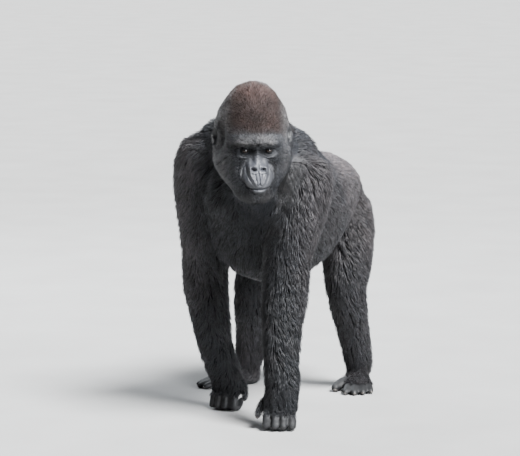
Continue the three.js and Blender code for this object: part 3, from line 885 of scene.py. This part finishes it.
def scatter(skin, weights, count, draw):
    """Roots over the skin: their places, triangles and places on the bake map."""
    total = np.cumsum(weights * skin.areas)
    marks = (np.arange(count) + draw.random(count)) / count * total[-1]
    faces = np.searchsorted(total, marks).clip(0, len(total) - 1)
    first, second = draw.random((2, count))
    over = first + second > 1
    first[over], second[over] = 1 - first[over], 1 - second[over]
    shares = np.stack((1 - first - second, first, second), axis=1)
    roots = (skin.points[skin.corners[faces]] * shares[:, :, None]).sum(1)
    spots = (skin.spots[faces] * shares[:, :, None]).sum(1)
    return roots, faces, spots


def turned(ways, normals, angles):
    """Ways, each turned round its own normal."""
    across = np.cross(normals, ways)
    return ways * np.cos(angles)[:, None] + across * np.sin(angles)[:, None]


def lines_of_hair(skin, roots, faces, lengths, lifts, rings, draw):
    """The points along each tuft, from its root to its tip, and the normals there."""
    count = len(roots)
    swirl = 0.22 * waves(roots, 0.09, 31) + 0.17 * waves(roots, 0.03, 32) + draw.normal(0, 0.10, count)
    place, normal = roots, skin.normals[faces]
    along = turned(skin.ways[faces], normal, swirl)
    points, normals = [roots - normal * SUNK], [normal]
    before = 0.0
    for share in [share for share, _ in rings] + [1.0]:
        place, face = skin.under(place + along * (lengths * (share - before))[:, None])
        before = share
        normal = skin.normals[face]
        along = turned(skin.ways[face], normal, swirl)
        points.append(place + normal * (lifts * share ** 0.85)[:, None])
        normals.append(normal)
    return points, normals


def gathered(points, clump, strength, rings):
    """The tufts drawn together towards their tips, in clumps, and each one's clump."""
    tree = kdtree.KDTree(len(clump))
    for i in clump:
        tree.insert(points[0][i], int(i))
    tree.balance()
    leaders = np.array([tree.find(root)[1] for root in points[0]])
    for k, share in enumerate([share for share, _ in rings] + [1.0], start=1):
        pull = (strength * share * share)[:, None]
        points[k] = points[k] + (points[k][leaders] - points[k]) * pull
    return points, leaders


def tuft_mesh(name, points, normals, widths, spots, colors, rings):
    """One closed mesh of flattened spindles along lines of points."""
    count, last = len(widths), 3 * len(rings) + 1
    corners = np.empty((count, last + 1, 3))
    corners[:, 0] = points[0]
    corners[:, last] = points[-1]
    # From the root to the first ring, from ring to ring, and from the last ring to the tip.
    faces = [(0, 1, 2), (0, 2, 3), (0, 3, 1)]
    for ring, (_, share) in enumerate(rings):
        middle_at, normal = points[ring + 1], normals[ring + 1]
        along = unit(points[ring + 2] - points[ring])
        side = unit(np.cross(along, normal))
        half = (widths * share / 2)[:, None]
        over = unit(np.cross(side, along))
        first = 1 + 3 * ring
        corners[:, first] = middle_at - side * half - over * half * FLATNESS * 0.5
        corners[:, first + 1] = middle_at + side * half - over * half * FLATNESS * 0.5
        corners[:, first + 2] = middle_at + over * half * FLATNESS * 1.6
        a, b, c = first, first + 1, first + 2
        if ring + 1 < len(rings):
            d, e, f = a + 3, b + 3, c + 3
            faces += [(a, d, b), (b, d, e), (b, e, c), (c, e, f), (c, f, a), (a, f, d)]
        else:
            faces += [(a, last, b), (b, last, c), (c, last, a)]
    faces = np.array(faces)
    loops = (faces[None] + np.arange(count)[:, None, None] * (last + 1)).reshape(-1)
    mesh = bpy.data.meshes.new(name)
    mesh.vertices.add(count * (last + 1))
    mesh.vertices.foreach_set("co", corners.astype(np.float32).ravel())
    mesh.loops.add(len(loops))
    mesh.loops.foreach_set("vertex_index", loops.astype(np.int32))
    mesh.polygons.add(count * len(faces))
    mesh.polygons.foreach_set("loop_start", np.arange(0, len(loops), 3, dtype=np.int32))
    mesh.update(calc_edges=True)
    along = np.array([0.0] + [share for share, _ in rings for _ in range(3)] + [1.0])
    around = np.array([0.0] + [-0.5, 0.0, 0.5] * len(rings) + [0.0])
    patch = np.stack((along - 0.5, around), axis=1) * BAKE_PATCH
    spots = np.clip(spots, BAKE_PATCH, 1 - BAKE_PATCH)
    flat = (spots[:, None] + patch[None]).reshape(-1, 2)
    layer = mesh.uv_layers.new(name="OFBake")
    layer.data.foreach_set("uv", flat[loops].astype(np.float32).ravel())
    root_shade = ROOT_SHADES[len(rings)]
    shades = root_shade + (TIP_SHADE - root_shade) * along ** 0.7
    add_colors(mesh, "marking", (colors[:, None] * shades[None, :, None]).reshape(-1, 3))
    mesh.shade_smooth()
    return mesh


def coat_group(node, place):
    """Which piece of the coat a place on a node of flesh belongs to."""
    part = part_of(node)
    side = node[len(part):]
    if part in ("hand", "thumb", "forearm") or "finger" in part:
        return "forearm" + side
    if part in ("foot", "shank") or "toe" in part:
        return "shank" + side
    if part in ("head", "ear", "neck"):
        return "neck"
    if part == "abdomen" and place[2] > BACK_HEIGHT:
        return "rump"
    if part in ("chest", "abdomen"):
        return part + ("_left" if place[0] > BODY_MIDLINE else "_right")
    return node


def coat_groups(skin, owners, on_head):
    """Which piece of the coat each triangle of the skin belongs to."""
    parts = owners[skin.corners[:, 0]]
    groups = np.array([coat_group(FLESH[part], place) for part, place in zip(parts, skin.middles)])
    over_brow = head_places(skin.middles[on_head])[:, 2] > CROWN_FROM
    groups[on_head] = np.where(over_brow, "crown", "cheeks")
    return groups


class Tufts:
    """Tufts of hair, scattered over part of the skin, laid along it and gathered in clumps."""

    def __init__(self, skin, weights, count, width, rings, looks, draw):
        roots, self.faces, self.spots = scatter(skin, weights, count, draw)
        lengths = hair_length(roots) * draw.uniform(*LENGTHS, count)
        lifts = coat_depth(roots) * draw.uniform(*LIFTS, count) + LEAST_LIFT
        lengths *= 1 - 0.6 * bare_share(roots)
        points, self.normals = lines_of_hair(skin, roots, self.faces, lengths, lifts, rings, draw)
        clumps = np.arange(0, count, CLUMP)
        self.points, leaders = gathered(points, clumps, draw.uniform(*GATHERING, count), rings)
        self.widths = width * draw.uniform(*WIDTHS, count)
        shade = 1 + 0.18 * draw.normal(size=count) + 0.2 * draw.normal(size=count)[leaders]
        self.colors = coat_colors(roots, looks) * np.clip(shade, 0.45, 2.0)[:, None]
        self.rings = rings

    def mesh(self, name, chosen):
        """The mesh of the chosen tufts."""
        return tuft_mesh(
            name, [points[chosen] for points in self.points], [normals[chosen] for normals in self.normals],
            self.widths[chosen], self.spots[chosen], self.colors[chosen], self.rings,
        )


# ---- Materials -----------------------------------------------------------------------------------

def new_material(name, roughness):
    """A material, its nodes and its shader."""
    material = bpy.data.materials.new(name)
    material.use_nodes = True
    tree = material.node_tree
    shader = tree.nodes["Principled BSDF"]
    shader.inputs["Roughness"].default_value = roughness
    return material, tree, shader


def add_node(tree, kind, **values):
    """A node with its settings, and its sockets' values by name."""
    node = tree.nodes.new(kind)
    for key, value in values.items():
        if hasattr(node, key):
            setattr(node, key, value)
        else:
            node.inputs[key.replace("_", " ")].default_value = value
    return node


def object_noise(tree, scale, detail=3.0, stretch=(1, 1, 1)):
    """Noise on Object coordinates, from 0 to 1."""
    place = add_node(tree, "ShaderNodeTexCoord")
    mapping = add_node(tree, "ShaderNodeMapping", Scale=stretch)
    noise = add_node(tree, "ShaderNodeTexNoise", Scale=scale, Detail=detail)
    tree.links.new(place.outputs["Object"], mapping.inputs["Vector"])
    tree.links.new(mapping.outputs["Vector"], noise.inputs["Vector"])
    return noise.outputs["Fac"]


def ranged(tree, value, low, high, from_low=0.3, from_high=0.7):
    """A value taken from one range to another."""
    ends = {"From_Min": from_low, "From_Max": from_high, "To_Min": low, "To_Max": high}
    node = add_node(tree, "ShaderNodeMapRange", **ends)
    tree.links.new(value, node.inputs["Value"])
    return node.outputs["Result"]


def times(tree, first, second):
    """Two values multiplied."""
    node = add_node(tree, "ShaderNodeMath", operation="MULTIPLY")
    for value, socket in zip((first, second), node.inputs):
        if isinstance(value, (int, float)):
            socket.default_value = value
        else:
            tree.links.new(value, socket)
    return node.outputs[0]


def plus(tree, first, second):
    """Two values added."""
    node = add_node(tree, "ShaderNodeMath", operation="ADD")
    tree.links.new(first, node.inputs[0])
    tree.links.new(second, node.inputs[1])
    return node.outputs[0]


def between(tree, dark, light, share):
    """A colour between two, by a share from 0 to 1."""
    mix = add_node(tree, "ShaderNodeMix", data_type="RGBA")
    mix.inputs["A"].default_value = dark
    mix.inputs["B"].default_value = light
    tree.links.new(share, mix.inputs["Factor"])
    return mix.outputs["Result"]


def tinted(tree, color, share, dark, light):
    """A colour socket made darker and lighter by a share from 0 to 1."""
    mix = add_node(tree, "ShaderNodeMix", data_type="RGBA", blend_type="MULTIPLY")
    mix.inputs["Factor"].default_value = 1.0
    tree.links.new(color, mix.inputs["A"])
    tree.links.new(between(tree, dark, light, share), mix.inputs["B"])
    return mix.outputs["Result"]


def add_bump(tree, shader, height, strength, distance):
    """Bumps on a shader from a height."""
    bump = add_node(tree, "ShaderNodeBump", Strength=strength, Distance=distance)
    tree.links.new(height, bump.inputs["Height"])
    tree.links.new(bump.outputs["Normal"], shader.inputs["Normal"])


def skin_material():
    """Skin: matt and dark under the coat, wrinkled and glossy where it is bare."""
    material, tree, shader = new_material("skin", 0.5)
    marking = add_node(tree, "ShaderNodeAttribute", attribute_name="marking")
    bare = add_node(tree, "ShaderNodeAttribute", attribute_name="bare").outputs["Fac"]
    blotches = object_noise(tree, 55, 4.0)
    color = tinted(tree, marking.outputs["Color"], ranged(tree, blotches, 0, 1),
                   (0.7, 0.7, 0.74, 1), (1.3, 1.28, 1.24, 1))
    tree.links.new(color, shader.inputs["Base Color"])
    fine = object_noise(tree, 240, 3.0)
    gloss = ranged(tree, fine, -0.06, 0.08)
    gloss = plus(tree, ranged(tree, bare, 0.85, 0.40, 0.0, 1.0), gloss)
    tree.links.new(gloss, shader.inputs["Roughness"])
    tree.links.new(ranged(tree, bare, 0.08, 0.62, 0.0, 1.0), shader.inputs["Specular IOR Level"])
    place = add_node(tree, "ShaderNodeTexCoord")
    cells = add_node(tree, "ShaderNodeTexVoronoi", feature="DISTANCE_TO_EDGE", Scale=620.0)
    tree.links.new(place.outputs["Object"], cells.inputs["Vector"])
    creases = ranged(tree, cells.outputs["Distance"], 0, 1, 0.0, 0.12)
    folds = object_noise(tree, 150, 4.0, (1.0, 1.0, 2.2))
    height = plus(tree, times(tree, creases, 0.22), times(tree, folds, 1.4))
    height = times(tree, height, ranged(tree, bare, 0.15, 1.0, 0.0, 1.0))
    add_bump(tree, shader, height, 0.6, 0.0012)
    return material


def coat_material(name, sheen_tint, gloss):
    """Hair: the markings, with lighter and darker locks and a soft sheen."""
    material, tree, shader = new_material(name, 0.5)
    marking = add_node(tree, "ShaderNodeAttribute", attribute_name="marking")
    locks = object_noise(tree, 70, 3.0)
    strands = object_noise(tree, 700, 2.0)
    in_locks, in_strands = ranged(tree, locks, 0, 1), ranged(tree, strands, 0, 1)
    share = plus(tree, times(tree, in_locks, 0.6), times(tree, in_strands, 0.4))
    color = tinted(tree, marking.outputs["Color"], share, (0.62, 0.62, 0.64, 1), (1.4, 1.38, 1.36, 1))
    tree.links.new(color, shader.inputs["Base Color"])
    tree.links.new(ranged(tree, strands, 0.42, 0.62), shader.inputs["Roughness"])
    shader.inputs["Specular IOR Level"].default_value = gloss
    shader.inputs["Sheen Weight"].default_value = 0.2 * gloss
    shader.inputs["Sheen Roughness"].default_value = 0.45
    shader.inputs["Sheen Tint"].default_value = sheen_tint
    add_bump(tree, shader, strands, 0.35, 0.0006)
    return material


def eye_material():
    """A dark brown eye: pupil, iris with its rays, rim and dark white, under a wet coat."""
    material, tree, shader = new_material("eye", 0.12)
    place = add_node(tree, "ShaderNodeUVMap", uv_map="EyeMap")
    centred = add_node(tree, "ShaderNodeVectorMath", operation="SUBTRACT")
    centred.inputs[1].default_value = (0.5, 0.5, 0.0)
    away = add_node(tree, "ShaderNodeVectorMath", operation="LENGTH")
    rays = add_node(tree, "ShaderNodeVectorMath", operation="NORMALIZE")
    noise = add_node(tree, "ShaderNodeTexNoise", Scale=9.0, Detail=4.0)
    tree.links.new(place.outputs["UV"], centred.inputs[0])
    tree.links.new(centred.outputs["Vector"], away.inputs[0])
    tree.links.new(centred.outputs["Vector"], rays.inputs[0])
    tree.links.new(rays.outputs["Vector"], noise.inputs["Vector"])
    ramp = add_node(tree, "ShaderNodeValToRGB")
    stops = (
        (0.0, (0.002, 0.002, 0.002, 1)), (0.034, (0.002, 0.002, 0.002, 1)),
        (0.042, (0.020, 0.009, 0.004, 1)), (0.088, (0.012, 0.005, 0.003, 1)),
        (0.098, (0.006, 0.004, 0.003, 1)), (0.115, (0.016, 0.012, 0.010, 1)),
        (0.2, (0.014, 0.010, 0.008, 1)), (1.0, (0.012, 0.009, 0.008, 1)),
    )
    elements = ramp.color_ramp.elements
    while len(elements) < len(stops):
        elements.new(0.5)
    for element, (at, color) in zip(elements, stops):
        element.position = at
        element.color = color
    tree.links.new(away.outputs["Value"], ramp.inputs["Fac"])
    color = tinted(tree, ramp.outputs["Color"], ranged(tree, noise.outputs["Fac"], 0, 1),
                   (0.6, 0.6, 0.6, 1), (1.5, 1.45, 1.4, 1))
    tree.links.new(color, shader.inputs["Base Color"])
    shader.inputs["Specular IOR Level"].default_value = 0.15
    shader.inputs["Coat Weight"].default_value = 0.35
    shader.inputs["Coat Roughness"].default_value = 0.03
    add_bump(tree, shader, object_noise(tree, 900), 0.05, 0.0002)
    return material


def nail_material():
    """Dark horn, with faint streaks along it."""
    material, tree, shader = new_material("nail", 0.35)
    streaks = object_noise(tree, 500, 3.0, (1.0, 1.0, 0.2))
    horn = between(tree, (0.018, 0.016, 0.016, 1), (0.06, 0.052, 0.046, 1), ranged(tree, streaks, 0, 1))
    tree.links.new(horn, shader.inputs["Base Color"])
    tree.links.new(ranged(tree, streaks, 0.28, 0.45), shader.inputs["Roughness"])
    add_bump(tree, shader, streaks, 0.3, 0.0004)
    return material


def floor_material():
    """The studio's plain pale floor."""
    material, tree, shader = new_material("floor", 0.8)
    grain = object_noise(tree, 3.0, 5.0)
    tone = between(tree, (0.28, 0.28, 0.276, 1), (0.31, 0.31, 0.306, 1), ranged(tree, grain, 0, 1))
    tree.links.new(tone, shader.inputs["Base Color"])
    return material


# ---- Eyes and nails ------------------------------------------------------------------------------

CORNEA = 0.0007  # how far the cornea stands out
CORNEA_ANGLE = 0.62
NAIL_THICKNESS = 0.0016
# How far each nail's middle is behind the end of its digit, and its width and length.
NAILS = {
    "finger": (0.008, 0.014, 0.013), "thumb": (0.002, 0.012, 0.012),
    "toe": (0.010, 0.012, 0.010), "big_toe": (0.015, 0.019, 0.016),
}
FINGERNAIL_HEIGHT = 0.036
TOENAIL_SLANT = 0.55
NAIL_ARCH = 0.0012


def make_eye(name, gaze):
    """One eyeball, its clear front turned to the gaze."""
    shape = bmesh.new()
    bmesh.ops.create_uvsphere(shape, u_segments=48, v_segments=32, radius=EYE_RADIUS)
    turn = Vector((0, 0, 1)).rotation_difference(Vector(gaze))
    layer = shape.loops.layers.uv.new("EyeMap")
    places = {}
    for vertex in shape.verts:
        angle = vertex.co.angle(Vector((0, 0, 1)))
        around = math.atan2(vertex.co.y, vertex.co.x)
        places[vertex] = (0.5 + 0.5 * angle / math.pi * math.cos(around),
                          0.5 + 0.5 * angle / math.pi * math.sin(around))
        if angle < CORNEA_ANGLE:
            vertex.co *= 1 + CORNEA / EYE_RADIUS * math.cos(angle / CORNEA_ANGLE * math.pi / 2)
    for face in shape.faces:
        for loop in face.loops:
            loop[layer].uv = places[loop.vert]
    bmesh.ops.rotate(shape, verts=shape.verts, cent=(0, 0, 0), matrix=turn.to_matrix())
    bmesh.ops.translate(shape, verts=shape.verts, vec=Vector(EYES[name]))
    piece = piece_of_shape("eyeball_" + name, shape)
    piece.data.shade_smooth()
    return piece


def add_nail(shape, tree, centre, facing, along, width, length):
    """One nail on the skin, arched across, with a rounded free end."""
    centre, normal, _, _ = tree.find_nearest(centre)
    facing = (Vector(facing).normalized() + normal).normalized()
    side = facing.cross(along).normalized()
    along = side.cross(facing).normalized()
    made = bmesh.ops.create_grid(shape, x_segments=6, y_segments=7, size=0.5)
    for vertex in made["verts"]:
        across, up = vertex.co.x, vertex.co.y
        narrow = 1 - 0.35 * (2 * abs(up)) ** 4
        target = centre + side * (across * width * narrow) + along * (up * length)
        hit, _, _, _ = tree.ray_cast(target + facing * 0.01, -facing)
        if hit is None or (hit - target).length > 0.008:
            hit = tree.find_nearest(target)[0]
        lift = NAIL_ARCH * (1 - 3.2 * across * across) + 0.0005 * (up + 0.5)
        vertex.co = hit + facing * (lift - NAIL_THICKNESS)
    faces = list({face for vertex in made["verts"] for face in vertex.link_faces})
    grown = bmesh.ops.extrude_face_region(shape, geom=faces, use_keep_orig=True)["geom"]
    upper = [part for part in grown if isinstance(part, bmesh.types.BMVert)]
    bmesh.ops.translate(shape, verts=upper, vec=facing * NAIL_THICKNESS)
    whole = {face for vertex in upper for face in vertex.link_faces} | set(faces)
    bmesh.ops.recalc_face_normals(shape, faces=list(whole))


def digit_axis(node, forward):
    """The middle of a digit's end and its level direction, on the side that `forward` points to."""
    points = mesh_points(NODES[node].data)
    flat = points[:, :2] - points[:, :2].mean(0)
    _, ways = np.linalg.eigh(flat.T @ flat)
    way = np.array((*ways[:, 1], 0.0))
    way *= np.sign(way[1] * forward)
    reach = points @ way
    end = points[reach > reach.max() - 0.004].mean(0)
    return Vector(end), Vector(way)


def make_nails(tree):
    """The nails of all the fingers and toes, in one mesh."""
    shape = bmesh.new()
    up = Vector((0, 0, 1))
    for name, side in SIDES:
        for digit in DIGITS:
            end, way = digit_axis(digit + "_" + name, 1)
            back, width, length = NAILS["finger"]
            tip = end - way * back
            tip.z = FINGERNAIL_HEIGHT
            add_nail(shape, tree, tip, way, up, width, length)
        for toe in TOES:
            end, way = digit_axis(toe + "_" + name, -1)
            back, width, length = NAILS.get(toe, NAILS["toe"])
            add_nail(shape, tree, end - way * back, up + way * TOENAIL_SLANT, way, width, length)
        top, bottom = (Vector(place) for place in ends_of("thumb_" + name))
        along = (bottom - top).normalized()
        back, width, length = NAILS["thumb"]
        add_nail(shape, tree, bottom - along * back, Vector((-side * 0.5, -1, 0)), along, width, length)
    piece = piece_of_shape("nails", shape)
    piece.data.shade_smooth()
    return piece


# ---- The studio ----------------------------------------------------------------------------------

FLOOR_SIZE = 30
SENSOR_WIDTH = 36
CAMERA_TURN = math.radians(21)  # the camera's way: turned to the animal's right, down, and a little aside
CAMERA_DOWN = math.radians(7.43)
CAMERA_ASIDE = 8 / 2746
SUN_SOFTNESS = math.radians(24)
LAMP_SIZE = 2.6
LIT_MIDDLE = (0.0, 0.0, 0.6)  # where the lights are aimed


def make_floor():
    """The studio's floor."""
    shape = bmesh.new()
    bmesh.ops.create_grid(shape, x_segments=2, y_segments=2, size=FLOOR_SIZE)
    piece = piece_of_shape("floor", shape)
    piece.data.materials.append(floor_material())
    return piece


def make_camera(place, lens):
    """The camera on its stand, turned to the animal."""
    camera = bpy.data.cameras.new("camera")
    camera.lens = lens
    camera.sensor_width = SENSOR_WIDTH
    stand = new_piece("camera", camera)
    stand.location = place
    ahead = Vector((-math.sin(CAMERA_TURN), math.cos(CAMERA_TURN), 0))
    ahead += Vector((math.cos(CAMERA_TURN), math.sin(CAMERA_TURN), 0)) * CAMERA_ASIDE
    ahead = ahead.normalized() * math.cos(CAMERA_DOWN) + Vector((0, 0, -1)) * math.sin(CAMERA_DOWN)
    stand.rotation_euler = ahead.to_track_quat("-Z", "Y").to_euler()
    return stand


def make_light(name, kind, place, power, color):
    """One light, aimed at the middle of the animal."""
    light = bpy.data.lights.new(name, kind)
    light.energy = power
    light.color = color
    if kind == "SUN":
        light.angle = SUN_SOFTNESS
    else:
        light.size = LAMP_SIZE
    lamp = new_piece(name, light)
    lamp.location = place
    lamp.rotation_euler = (Vector(LIT_MIDDLE) - lamp.location).to_track_quat("-Z", "Y").to_euler()


# ---- Settings ------------------------------------------------------------------------------------

class SkinSettings(bpy.types.PropertyGroup):
    """The skin."""

    grain: FloatProperty(
        name="Grain", description="Width of the even squares that the solids are joined in",
        default=0.0044, min=0.003, max=0.01, unit="LENGTH",
    )
    skin_color: FloatVectorProperty(
        name="Bare skin", description="Colour of the bare skin", subtype="COLOR",
        default=(0.0155, 0.0165, 0.0195), size=3, min=0, max=1,
    )


class CoatSettings(bpy.types.PropertyGroup):
    """The coat."""

    body_tufts: IntProperty(
        name="Tufts on the body", description="How many tufts cover the body and limbs",
        default=95000, min=1000, max=100000,
    )
    head_tufts: IntProperty(
        name="Tufts on the head", description="How many tufts cover the head",
        default=58000, min=500, max=66000,
    )
    width: FloatProperty(
        name="Width", description="Width of a tuft on the body", default=0.0028, min=0.001, max=0.01,
        unit="LENGTH",
    )
    head_width: FloatProperty(
        name="Width on the head", description="Width of a tuft on the head", default=0.0013, min=0.0005,
        max=0.005, unit="LENGTH",
    )
    coat_color: FloatVectorProperty(
        name="Coat", description="Colour of the arms, the shoulders and the chest", subtype="COLOR",
        default=(0.0080, 0.0084, 0.0100), size=3, min=0, max=1,
    )
    saddle_color: FloatVectorProperty(
        name="Back and flanks", description="Colour of the back, the flanks and the rump", subtype="COLOR",
        default=(0.082, 0.072, 0.073), size=3, min=0, max=1,
    )
    crown_color: FloatVectorProperty(
        name="Crown", description="Colour of the forehead and crown", subtype="COLOR",
        default=(0.0175, 0.0108, 0.0096), size=3, min=0, max=1,
    )
    grizzle_color: FloatVectorProperty(
        name="Grizzle", description="Colour of the brow, the cheeks and the chin", subtype="COLOR",
        default=(0.12, 0.118, 0.118), size=3, min=0, max=1,
    )


class StageSettings(bpy.types.PropertyGroup):
    """The camera and the light."""

    camera_place: FloatVectorProperty(
        name="Camera", description="Place of the camera", subtype="TRANSLATION", unit="LENGTH",
        default=(3.25315, -8.55146, 1.80), size=3,
    )
    lens: FloatProperty(
        name="Lens", description="Focal length, in millimetres", default=190.1, min=20, max=400,
    )
    key_power: FloatProperty(
        name="Key light", description="Strength of the main light", default=22.0, min=0,
    )
    fill_power: FloatProperty(
        name="Fill light", description="Strength of the low light from its left", default=6.0, min=0,
    )
    rim_power: FloatProperty(
        name="Rim light", description="Power of the light from behind", default=240.0, min=0, unit="POWER",
    )
    sky: FloatProperty(
        name="Sky", description="Strength of the light all round", default=0.055, min=0, max=5,
    )


class Looks:
    """The colours of the two groups of settings together."""

    def __init__(self, scene):
        coat = scene.gorilla_coat
        self.skin_color = tuple(scene.gorilla_skin.skin_color)
        self.coat_color = tuple(coat.coat_color)
        self.saddle_color = tuple(coat.saddle_color)
        self.crown_color = tuple(coat.crown_color)
        self.grizzle_color = tuple(coat.grizzle_color)


def finished(piece, material, slot, *nodes):
    """Gives a piece its material, its body and the nodes it stands for; the slot is not used."""
    piece.data.materials.clear()
    piece.data.materials.append(material)
    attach(piece, "root")
    if nodes:
        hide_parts(*nodes)


# ---- Operators -----------------------------------------------------------------------------------

class GORILLA_OT_skin(bpy.types.Operator):
    """Make the skin of the whole animal, with the modelled face"""

    bl_idname = "gorilla.skin"
    bl_label = "Skin"

    def execute(self, context):
        scene = context.scene
        piece = make_skin(scene.gorilla_skin.grain)
        add_bake_map(piece)
        points = mesh_points(piece.data)
        add_colors(piece.data, "marking", skin_colors(points, Looks(scene)))
        add_values(piece.data, "bare", bare_values(points))
        finished(piece, skin_material(), "bare_skin", *FLESH)
        return {"FINISHED"}


class GORILLA_OT_eyes(bpy.types.Operator):
    """Make the two eyeballs"""

    bl_idname = "gorilla.eyes"
    bl_label = "Eyes"

    def execute(self, context):
        material = eye_material()
        camera = np.array(context.scene.gorilla_stage.camera_place)
        for name, _ in SIDES:
            ahead = camera - EYES[name]
            gaze = 0.6 * ahead / np.linalg.norm(ahead) - 0.4 * BACK
            finished(make_eye(name, gaze), material, "eye", "eye_" + name)
        return {"FINISHED"}


class GORILLA_OT_nails(bpy.types.Operator):
    """Make the nails of the fingers and toes"""

    bl_idname = "gorilla.nails"
    bl_label = "Nails"

    def execute(self, context):
        mesh = bpy.data.objects["skin"].data
        corners = [vertex.co.copy() for vertex in mesh.vertices]
        tree = BVHTree.FromPolygons(corners, [list(face.vertices) for face in mesh.polygons])
        finished(make_nails(tree), nail_material(), "bare_skin")
        return {"FINISHED"}


class GORILLA_OT_coat(bpy.types.Operator):
    """Make the coat of tufts, in one piece for each part of the body"""

    bl_idname = "gorilla.coat"
    bl_label = "Coat"

    def execute(self, context):
        settings = context.scene.gorilla_coat
        looks = Looks(context.scene)
        draw = np.random.default_rng(SEED)
        piece = bpy.data.objects["skin"]
        owners = nearest_parts(mesh_points(piece.data))
        skin = Skin(piece, lie_of_coat(piece.data, owners))
        on_head = head_share(skin.middles) > 0.5
        groups = coat_groups(skin, owners, on_head)
        at_ends = limb_ends(skin.middles, 0.16, 0.05)
        weights = np.clip(1 - 1.6 * bare_share(skin.middles), 0, 1) * (1 + 0.8 * at_ends)
        materials = {
            "coat": coat_material("coat", (0.55, 0.6, 0.7, 1), 0.34),
            "crown": coat_material("crown", (0.75, 0.62, 0.56, 1), 0.2),
        }
        for of_head, count, width, rings in (
            (True, settings.head_tufts, settings.head_width, SHORT_RINGS),
            (False, settings.body_tufts, settings.width, LONG_RINGS),
        ):
            tufts = Tufts(skin, weights * (on_head == of_head), count, width, rings, looks, draw)
            if not of_head:
                tufts.widths *= 1 - 0.45 * at_ends[tufts.faces]
            for group in sorted(set(groups[tufts.faces])):
                mesh = tufts.mesh("coat_" + group, groups[tufts.faces] == group)
                if len(mesh.polygons) > PIECE_TRIANGLES:
                    raise RuntimeError("coat_" + group + " has too many triangles")
                slot = "crown" if group == "crown" else "coat"
                finished(new_piece("coat_" + group, mesh), materials[slot], slot)
        return {"FINISHED"}


class GORILLA_OT_stage(bpy.types.Operator):
    """Make the floor, the lights and the camera"""

    bl_idname = "gorilla.stage"
    bl_label = "Stage"

    def execute(self, context):
        scene = context.scene
        settings = scene.gorilla_stage
        floor = make_floor()
        scene.camera = make_camera(settings.camera_place, settings.lens)
        for name, kind, place, power, color in (
            ("key", "SUN", (2.7, -1.5, 4.7), settings.key_power, (0.98, 0.99, 1.0)),
            ("fill", "SUN", (4.6, -1.5, 1.9), settings.fill_power, (0.92, 0.95, 1.0)),
            ("rim", "AREA", (-2.4, 2.6, 3.4), settings.rim_power, (0.9, 0.95, 1.0)),
        ):
            make_light(name, kind, place, power, color)
        world = bpy.data.worlds.new("studio")
        world.use_nodes = True
        background = world.node_tree.nodes["Background"]
        background.inputs["Color"].default_value = (0.86, 0.89, 0.93, 1)
        background.inputs["Strength"].default_value = settings.sky
        scene.world = world
        return {"FINISHED"}


class GORILLA_PT_panel(bpy.types.Panel):
    """The gorilla's pieces and their settings"""

    bl_label = "Gorilla"
    bl_idname = "GORILLA_PT_panel"
    bl_space_type = "VIEW_3D"
    bl_region_type = "UI"
    bl_category = "Gorilla"

    def draw(self, context):
        for operator, group in STEPS:
            self.layout.operator(operator.bl_idname)
            if group:
                settings = getattr(context.scene, group)
                for name in settings.__annotations__:
                    self.layout.prop(settings, name)


GROUPS = (
    ("gorilla_skin", SkinSettings), ("gorilla_coat", CoatSettings), ("gorilla_stage", StageSettings),
)
STEPS = (
    (GORILLA_OT_skin, "gorilla_skin"), (GORILLA_OT_eyes, None), (GORILLA_OT_nails, None),
    (GORILLA_OT_coat, "gorilla_coat"), (GORILLA_OT_stage, "gorilla_stage"),
)
CLASSES = tuple(group for _, group in GROUPS) + tuple(step for step, _ in STEPS) + (GORILLA_PT_panel,)


def register():
    """Registers the classes and the settings."""
    for kind in CLASSES:
        bpy.utils.register_class(kind)
    for name, group in GROUPS:
        setattr(bpy.types.Scene, name, PointerProperty(type=group))


def unregister():
    """Takes the settings and the classes away again."""
    for name, _ in GROUPS:
        delattr(bpy.types.Scene, name)
    for kind in reversed(CLASSES):
        bpy.utils.unregister_class(kind)


def main():
    """Makes the whole gorilla and its stage."""
    register()
    bpy.ops.gorilla.skin()
    bpy.ops.gorilla.eyes()
    bpy.ops.gorilla.nails()
    bpy.ops.gorilla.coat()
    bpy.ops.gorilla.stage()


if __name__ == "__main__":
    main()
